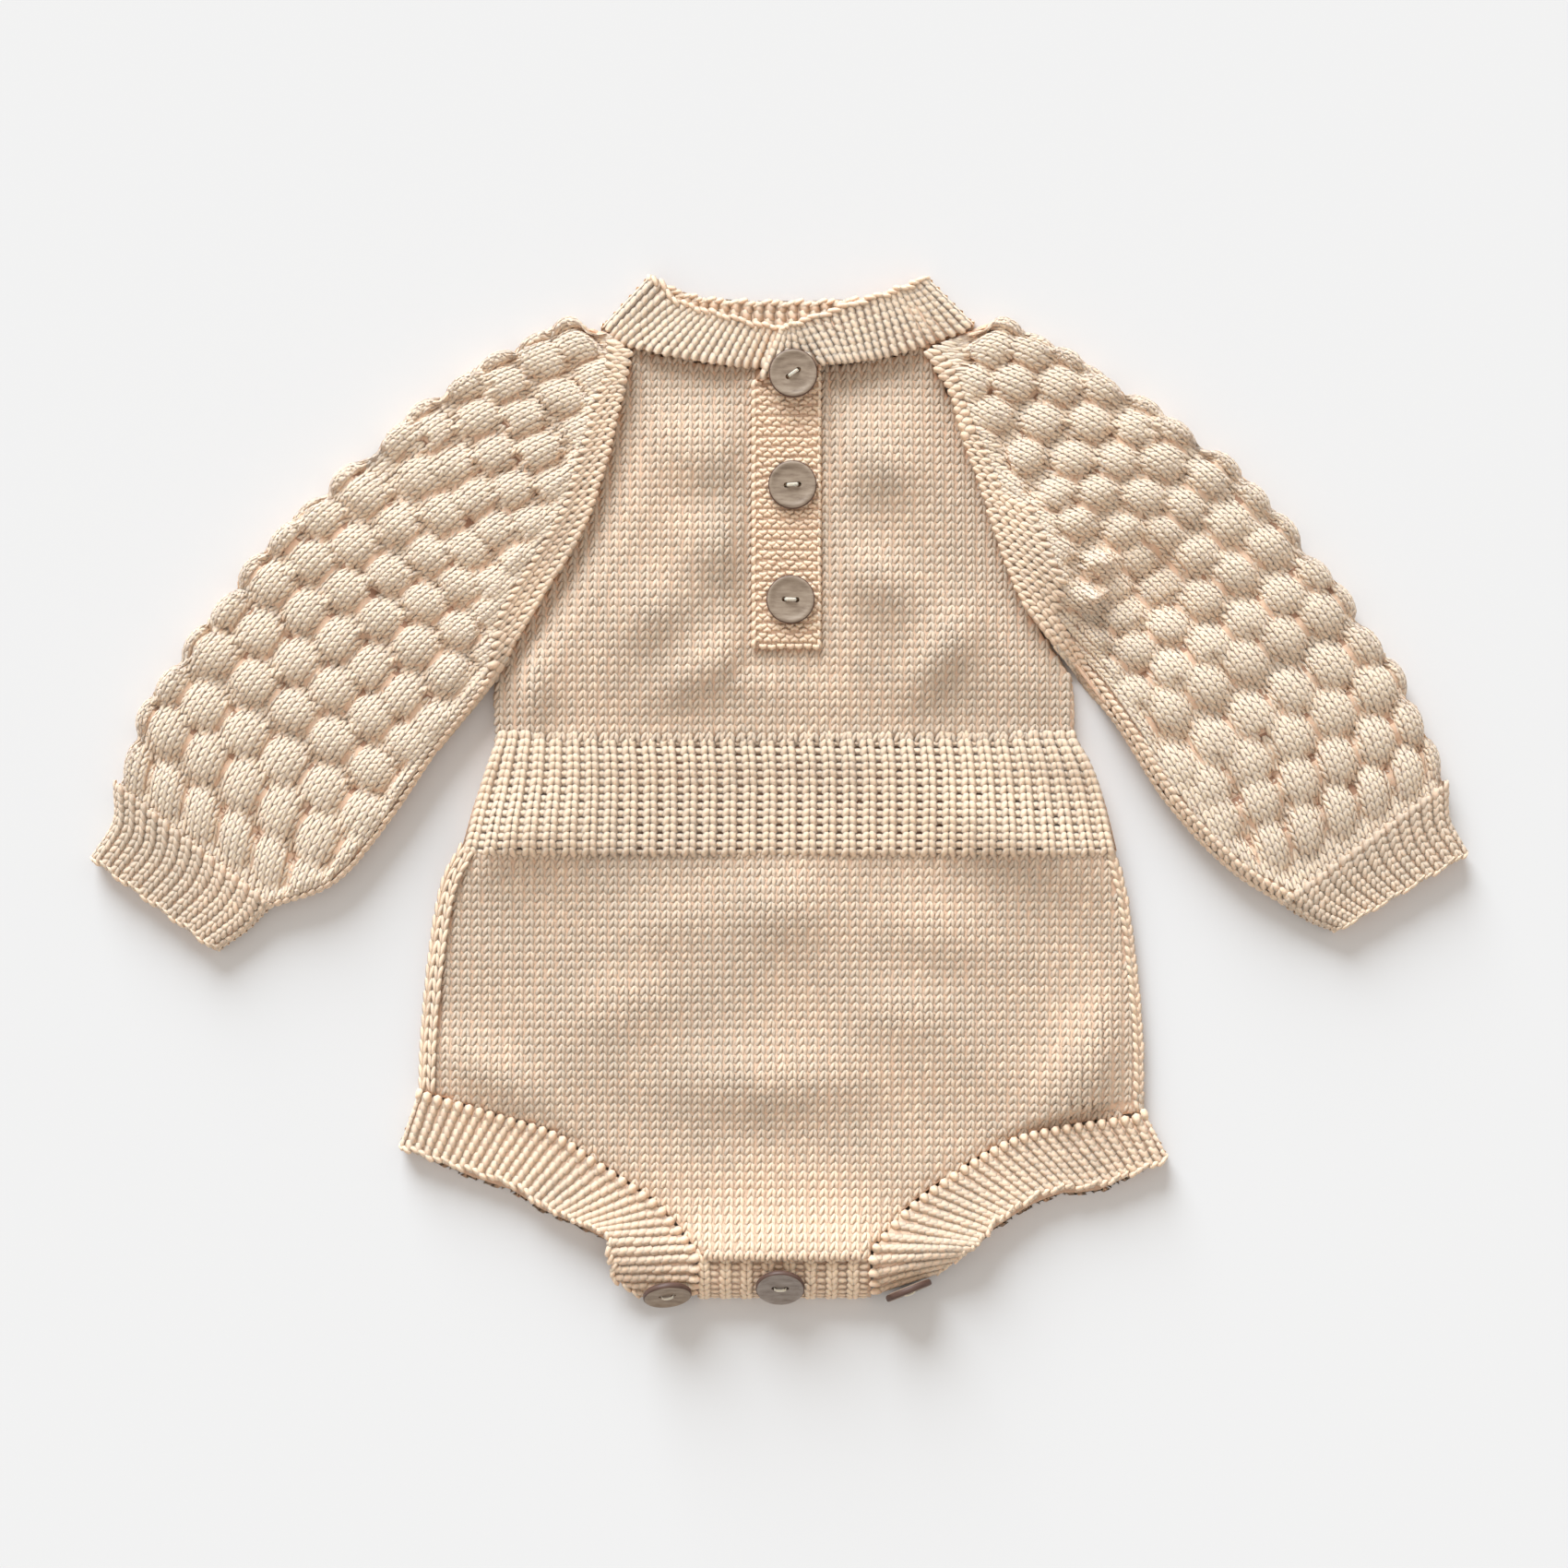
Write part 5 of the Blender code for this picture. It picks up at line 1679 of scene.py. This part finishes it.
def make_crotch():
    rng = np.random.default_rng(81)
    turns = np.linspace(0.0, ROLL_TURN_DEG, 25)
    line = np.array([roll_line(turn) for turn in turns])
    count = 9
    x = np.linspace(CROTCH_LEFT, CROTCH_RIGHT, count)
    grid = np.array([[(column, *point) for column in x] for point in line])
    q_at = run_length(line)
    place = grid_place(grid, x, q_at)
    total = q_at[-1]
    pitch = 7.8
    columns = np.arange(CROTCH_LEFT + 2.0, CROTCH_RIGHT, pitch * 0.5)
    rows = 9
    high = total / rows
    q = (np.arange(rows) + 0.5) * high
    made = []
    for number, column in enumerate(columns):
        p = np.full(rows, column)
        # Knit columns in lighter yarn: painted highlight on the roll, which faces the light
        if number % 2 == 0:
            made += knit(place, p, q, 4.6, -high, rng, -1, CORD, 0.25, tone=PAINTED_LIGHT_TONE)
        else:
            made.append(strands(place, p, q, 4.0, 0.0, 1.45, -0.1, 0.0, -1, FINE, -0.1))
    stitches = yarn_piece("front_crotch_band_stitches", join(made), front_yarn(), 0.02)
    cloth = backing("front_crotch_band", backing_shade_yarn(), 0.7)
    size = (CROTCH_RIGHT - CROTCH_LEFT, float(total))
    finish_cloth(
        "front_crotch_band", cloth, [stitches],
        size[0] * size[1],
    )
    low_cloth = backing("back_crotch_band", backing_shade_yarn(), 0.6)
    p, q = stitch_grid(CROTCH_LEFT, CROTCH_RIGHT, ROLL_START - 11.0, -160.0, 3.9, 3.1)
    under = knit(under_place(0.0), p, q, 3.9, 3.1, rng, -1, PLAINER)
    low = yarn_piece("back_crotch_band_stitches", join(under), front_yarn(), 0.02)
    low_size = (62.8, 46.0)
    finish_cloth(
        "back_crotch_band", low_cloth, [low], low_size[0] * low_size[1]
    )


def make_placket():
    rng = np.random.default_rng(91)
    base = FRONT_PLAIN + PLAIN + SEAM
    top = base + GARTER
    place = flat_place(BODICE, BODICE_FOLDS, top)
    left, right = SLOT_LEFT - OVER_LAP, SLOT_RIGHT - SEAM
    made = []
    y = np.arange(OVER_FOOT + 0.5 * GARTER_RIDGE, OVER_HEAD_RIGHT + 1.0, GARTER_RIDGE)
    columns = np.arange(left + 1.8, right - 1.4, GARTER_STITCH)
    p, q = (grid.ravel() for grid in np.meshgrid(columns, y))
    head = OVER_HEAD_LEFT + (p - left) / (right - left) * (OVER_HEAD_RIGHT - OVER_HEAD_LEFT)
    keep = q < head + 1.0
    p, q = p[keep], q[keep]
    wander = 0.35 * np.sin(p * 0.9 + q * 0.37)
    # Garter ridges in lighter yarn: painted highlight on the raised band
    for up in (1, -1):
        shake = rng.normal(0.0, 0.1, (4, *p.shape))
        made.append(
            strands(
                place, p + (0.0 if up > 0 else 0.5 * GARTER_STITCH) + shake[0],
                q + up * 0.35 + wander + shake[1],
                3.0, 0.5 * shake[2], 1.25, 0.3, 0.0, 1, CORD, shake[3] * 4.0 + PAINTED_LIGHT_TONE,
                up * 1.1, GARTER_FLAT,
            )
        )
    edge_q = np.arange(OVER_FOOT, OVER_HEAD_LEFT, 3.4)
    made.append(
        strands(
            place, left + 0.6, edge_q + 1.7, 0.7, 4.2, 1.25, 0.3, -0.6, 1, FINE, 0.8, 0.0,
            EDGE_FLAT,
        )
    )
    edge_q = np.arange(OVER_FOOT, OVER_HEAD_RIGHT, 3.4)
    made.append(
        strands(
            place, right - 0.6, edge_q + 1.7, -0.6, 3.8, 1.1, 0.1, 0.3, 1, FINE, 0.4, 0.0,
            EDGE_FLAT,
        )
    )
    stitches = yarn_piece("buttonhole_band_stitches", join(made), front_yarn())
    cloth = backing("buttonhole_band", backing_shade_yarn(), 0.25)
    size = (right - left, OVER_HEAD_RIGHT - OVER_FOOT)
    finish_cloth(
        "buttonhole_band", cloth, [stitches],
        size[0] * size[1] * SLANTED_HEAD,
    )
    low_cloth = backing("button_band", backing_shade_yarn(), 0.5)
    low_place = flat_place(BODICE, BODICE_FOLDS, FRONT_PLAIN + PLAIN)
    q = np.arange(57.0, 154.0, 3.7)
    low = strands(low_place, SLOT_RIGHT - 1.5, q, 2.4, 0.0, 0.8, 0.0, 0.0, 1, PLAINER, 0.0)
    low_piece = yarn_piece("button_band_stitches", [low], front_yarn())
    low_size = (SLOT_RIGHT - SLOT_LEFT - 2 * SEAM, 99.0)
    finish_cloth(
        "button_band", low_cloth, [low_piece],
        low_size[0] * low_size[1],
    )


# --- Buttons --------------------------------------------------------------------------------------


def make_button(row, radius, yarn):
    """A turned disc with a raised rim and a dished face, two drilled holes and a bar of thread."""
    profile = (
        (0.0, 0.62), (0.3, 0.6), (0.6, 0.66), (0.74, 0.82), (0.82, 1.2), (0.9, 1.34), (0.96, 1.22),
        (1.0, 0.8), (1.0, -0.5), (0.94, -1.1), (0.8, -1.35), (0.4, -1.35), (0.0, -1.35),
    )
    sides = 64
    shape = bmesh.new()
    rings = []
    for share, z in profile:
        if share == 0.0:
            rings.append([shape.verts.new((0, 0, z * MM))])
            continue
        turn = np.arange(sides) * 2 * pi / sides
        reach = radius * share
        rings.append(
            [shape.verts.new((reach * cos(t) * MM, reach * sin(t) * MM, z * MM)) for t in turn]
        )
    for upper, lower in zip(rings, rings[1:]):
        for s in range(sides):
            n = (s + 1) % sides
            if len(upper) == 1:
                shape.faces.new((upper[0], lower[s], lower[n]))
            elif len(lower) == 1:
                shape.faces.new((upper[n], upper[s], lower[0]))
            else:
                shape.faces.new((upper[s], lower[s], lower[n], upper[n]))
    bmesh.ops.recalc_face_normals(shape, faces=shape.faces)
    mesh = bpy.data.meshes.new(row.name + "_shell")
    shape.to_mesh(mesh)
    shape.free()
    button = show(row.name + "_shell", mesh)
    cutter_mesh = bpy.data.meshes.new("thread_holes")
    shape = bmesh.new()
    for side in (-1, 1):
        made = bmesh.ops.create_cone(
            shape, cap_ends=True, segments=20, radius1=HOLE_RADIUS * MM,
            radius2=HOLE_RADIUS * MM, depth=8 * MM,
        )
        bmesh.ops.translate(shape, verts=made["verts"], vec=(side * HOLE_OFFSET * MM, 0, 0))
    shape.to_mesh(cutter_mesh)
    shape.free()
    cutter = show("thread_holes", cutter_mesh)
    cut = button.modifiers.new("holes", "BOOLEAN")
    cut.operation = "DIFFERENCE"
    cut.solver = "EXACT"
    cut.object = cutter
    bpy.context.view_layer.update()
    graph = bpy.context.evaluated_depsgraph_get()
    drilled = bpy.data.meshes.new_from_object(button.evaluated_get(graph))
    button.modifiers.clear()
    button.data = drilled
    drilled.name = row.name + "_shell"
    bpy.data.objects.remove(cutter)
    if row.shell == "grey":
        shell = coconut_shell("coconut shell, greyer", GREYER)
    else:
        shell = coconut_shell("coconut shell")
    drilled.materials.clear()
    drilled.materials.append(shell)
    drilled.materials.append(coconut_shell("coconut shell, sawn edge", SAWN))
    for face in drilled.polygons:
        away = np.hypot(face.center.x, face.center.y) / (radius * MM)
        face.material_index = int(away > 0.93 and abs(face.normal.z) < 0.75)
    drilled.shade_smooth()
    drilled.set_sharp_from_angle(angle=radians(50))
    # Thread: three strands side by side, from hole to hole
    turns = ((-0.32, 0.0), (0.0, 0.12), (0.32, 0.0))
    batches = []
    for aside, lift in turns:
        t = np.linspace(-1.0, 1.0, 9)
        arch = 0.75 + lift + 0.85 * (1 - np.abs(t) ** 3.2) - 1.1 * (np.abs(t) > 0.99)
        path = np.stack([t * (HOLE_OFFSET + 0.15), np.full(9, aside), arch], axis=-1)[None]
        radii = np.full((1, 9), 0.36)
        batches.append((path, radii, np.array([[0.0, 0.0, 1.0]]), np.array([0.8]), np.ones(1)))
    thread = yarn_piece(row.name + "_thread", join(batches), yarn)
    turn = Matrix.Rotation(radians(row.turn_deg), 4, "Z")
    tilt = Matrix.Rotation(radians(row.tilt_deg), 4, "X")
    spot = Matrix.Translation(Vector((row.x, row.y, row.z)) * MM) @ (turn @ tilt)
    for piece in (button, thread):
        piece.data.transform(spot)
        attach(piece, "root")
        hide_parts(row.name)


def make_buttons():
    thread = cotton_yarn("cream cotton thread", tuple(bpy.context.scene.romper.thread_colour))
    for row in BUTTONS:
        make_button(row, bpy.context.scene.romper.button_radius / MM, thread)


# --- Stage ----------------------------------------------------------------------------------------

FLOOR_REACH = 3.0  # metres from its middle to its sides
SKY = "#FFF8F1"
WINDOW = "#EEF7FF"
WINDOW_SPREAD_DEG = 36.0
WINDOW_HEIGHT_DEG = 23.0
WINDOW_ASIDE_DEG = 18.0  # to the left of the neck
FRAME = 1700  # pixels across
PIXEL = 0.34  # millimetres of the cloth across one of them
CAMERA_HEIGHT = 1.2
CLOTH_LEVEL = 0.006


def make_stage():
    settings = bpy.context.scene.romper
    floor_mesh = bpy.data.meshes.new("floor")
    reach = FLOOR_REACH
    floor_mesh.from_pydata(
        [(-reach, -reach, 0.0), (reach, -reach, 0.0), (reach, reach, 0.0), (-reach, reach, 0.0)],
        [],
        [(0, 1, 2, 3)],
    )
    floor = show("floor", floor_mesh)
    colour = tuple(settings.floor_colour)
    paper, _, shader = new_material("matt white card", colour, 0.9)
    shader.inputs["Base Color"].default_value = (*colour, 1.0)
    shader.inputs["Specular IOR Level"].default_value = 0.1
    floor_mesh.materials.append(paper)

    world = bpy.data.worlds.new("studio")
    world.use_nodes = True
    sky = world.node_tree.nodes["Background"]
    sky.inputs["Color"].default_value = (*hex_colour(SKY), 1.0)
    sky.inputs["Strength"].default_value = settings.fill_light
    bpy.context.scene.world = world

    window = bpy.data.lights.new("window", "SUN")
    window.energy = settings.key_light
    window.angle = radians(WINDOW_SPREAD_DEG)
    window.color = hex_colour(WINDOW)
    lamp = bpy.data.objects.new("window", window)
    bpy.context.scene.collection.objects.link(lamp)
    lamp.rotation_mode = "QUATERNION"
    height, aside = radians(WINDOW_HEIGHT_DEG), radians(WINDOW_ASIDE_DEG)
    towards = Vector((-sin(aside) * cos(height), cos(aside) * cos(height), sin(height)))
    lamp.rotation_quaternion = (-towards).to_track_quat("-Z", "Y")

    data = bpy.data.cameras.new("camera")
    camera = bpy.data.objects.new("camera", data)
    bpy.context.scene.collection.objects.link(camera)
    view_width = FRAME * PIXEL * MM
    data.sensor_width = 36.0
    data.lens = data.sensor_width * (CAMERA_HEIGHT - CLOTH_LEVEL) / view_width
    data.clip_start, data.clip_end = 0.01, 20.0
    camera.location = (0.0017, 0.0027, CAMERA_HEIGHT)
    bpy.context.scene.camera = camera
    bpy.context.scene.view_settings.view_transform = "Standard"
    bpy.context.scene.view_settings.look = "None"


# --- Add-on ---------------------------------------------------------------------------------------


class RomperSettings(bpy.types.PropertyGroup):
    """Sizes, colours and lights of the romper."""

    wale: bpy.props.FloatProperty(
        name="Stitch width", description="Width of a plain stitch", default=BODY_WALE * MM,
        min=0.002, max=0.008, unit="LENGTH",
    )
    row: bpy.props.FloatProperty(
        name="Stitch height", description="Height of a plain stitch", default=BODY_ROW * MM,
        min=0.002, max=0.008, unit="LENGTH",
    )
    sleeve_wale: bpy.props.FloatProperty(
        name="Sleeve stitch width", description="Width of a stitch on the sleeves",
        default=SLEEVE_WALE * MM, min=0.002, max=0.008, unit="LENGTH",
    )
    sleeve_row: bpy.props.FloatProperty(
        name="Sleeve stitch height", description="Height of a stitch on the sleeves",
        default=SLEEVE_ROW * MM, min=0.002, max=0.008, unit="LENGTH",
    )
    rib_pitch: bpy.props.FloatProperty(
        name="Waist rib", description="Width of one knit and one purl column at the waist",
        default=WAIST_PITCH * MM, min=0.003, max=0.01, unit="LENGTH",
    )
    narrow_rib: bpy.props.FloatProperty(
        name="Band rib", description="Width of a leg band's rib; a cuff's is 1.4 times as wide",
        default=NARROW_RIB * MM, min=0.002, max=0.01, unit="LENGTH",
    )
    bubble_height: bpy.props.FloatProperty(
        name="Bubble height", description="How far the sleeves' bubbles stand up",
        default=BUBBLE_RISE * MM, min=0.0, max=0.009, unit="LENGTH",
    )
    button_radius: bpy.props.FloatProperty(
        name="Button radius", description="Radius of each button", default=8.9 * MM,
        min=0.005, max=0.012, unit="LENGTH",
    )
    yarn_colour: bpy.props.FloatVectorProperty(
        name="Yarn", description="Colour of the cotton yarn", default=hex_colour("#F5D7BC"),
        min=0.0, max=1.0, subtype="COLOR",
    )
    shell_colour: bpy.props.FloatVectorProperty(
        name="Buttons", description="Colour of the coconut shell", default=hex_colour("#988674"),
        min=0.0, max=1.0, subtype="COLOR",
    )
    thread_colour: bpy.props.FloatVectorProperty(
        name="Thread", description="Colour of the buttons' thread", default=hex_colour("#F1E6D3"),
        min=0.0, max=1.0, subtype="COLOR",
    )
    floor_colour: bpy.props.FloatVectorProperty(
        name="Floor", description="Colour of the card that it lies on",
        default=hex_colour("#E2E2E2"), min=0.0, max=1.0, subtype="COLOR",
    )
    key_light: bpy.props.FloatProperty(
        name="Window light", description="Strength of the light from beyond the neck", default=4.5,
        min=0.0, max=20.0,
    )
    fill_light: bpy.props.FloatProperty(
        name="Room light", description="Strength of the even light from all round", default=0.69,
        min=0.0, max=3.0,
    )


def operator(idname, label, text, make):
    """An operator class that makes one piece or group of pieces."""

    def execute(self, context):
        make()
        return {"FINISHED"}

    body = {
        "__doc__": text,
        "bl_idname": idname,
        "bl_label": label,
        "bl_options": {"REGISTER", "UNDO"},
        "execute": execute,
    }
    return type("ROMPER_OT_" + idname.split(".")[1], (bpy.types.Operator,), body)


OPERATORS = (
    operator(
        "romper.lower_body", "Lower body", "Knit the front and back of the lower body",
        make_lower_body,
    ),
    operator("romper.waist_rib", "Waist rib", "Knit the ribbed waist", make_waist_rib),
    operator("romper.bodice", "Bodice", "Knit the front and back yoke", make_bodice),
    operator("romper.placket", "Placket", "Knit the two garter-stitch bands", make_placket),
    operator("romper.neckband", "Neckband", "Knit the ribbed neckband", make_neckband),
    operator("romper.sleeves", "Sleeves", "Knit the bubble-stitch sleeves", make_sleeves),
    operator("romper.cuffs", "Cuffs", "Knit the ribbed cuffs", make_cuffs),
    operator("romper.leg_bands", "Leg bands", "Knit the ribbed leg bands", make_leg_bands),
    operator("romper.crotch", "Crotch bands", "Knit the two crotch bands", make_crotch),
    operator("romper.buttons", "Buttons", "Turn the six buttons and sew them on", make_buttons),
    operator("romper.stage", "Stage", "Set up the floor, the lights and the camera", make_stage),
)


class ROMPER_PT_panel(bpy.types.Panel):
    """The romper's operators and sizes."""

    bl_label = "Knitted romper"
    bl_space_type = "VIEW_3D"
    bl_region_type = "UI"
    bl_category = "Romper"

    def draw(self, context):
        for made in OPERATORS:
            self.layout.operator(made.bl_idname)
        for name in RomperSettings.__annotations__:
            self.layout.prop(context.scene.romper, name)


CLASSES = (RomperSettings, *OPERATORS, ROMPER_PT_panel)


def register():
    for made in CLASSES:
        bpy.utils.register_class(made)
    bpy.types.Scene.romper = bpy.props.PointerProperty(type=RomperSettings)


def unregister():
    del bpy.types.Scene.romper
    for made in reversed(CLASSES):
        bpy.utils.unregister_class(made)


def main():
    register()
    for made in OPERATORS:
        group, name = made.bl_idname.split(".")
        getattr(getattr(bpy.ops, group), name)()


if __name__ == "__main__":
    main()
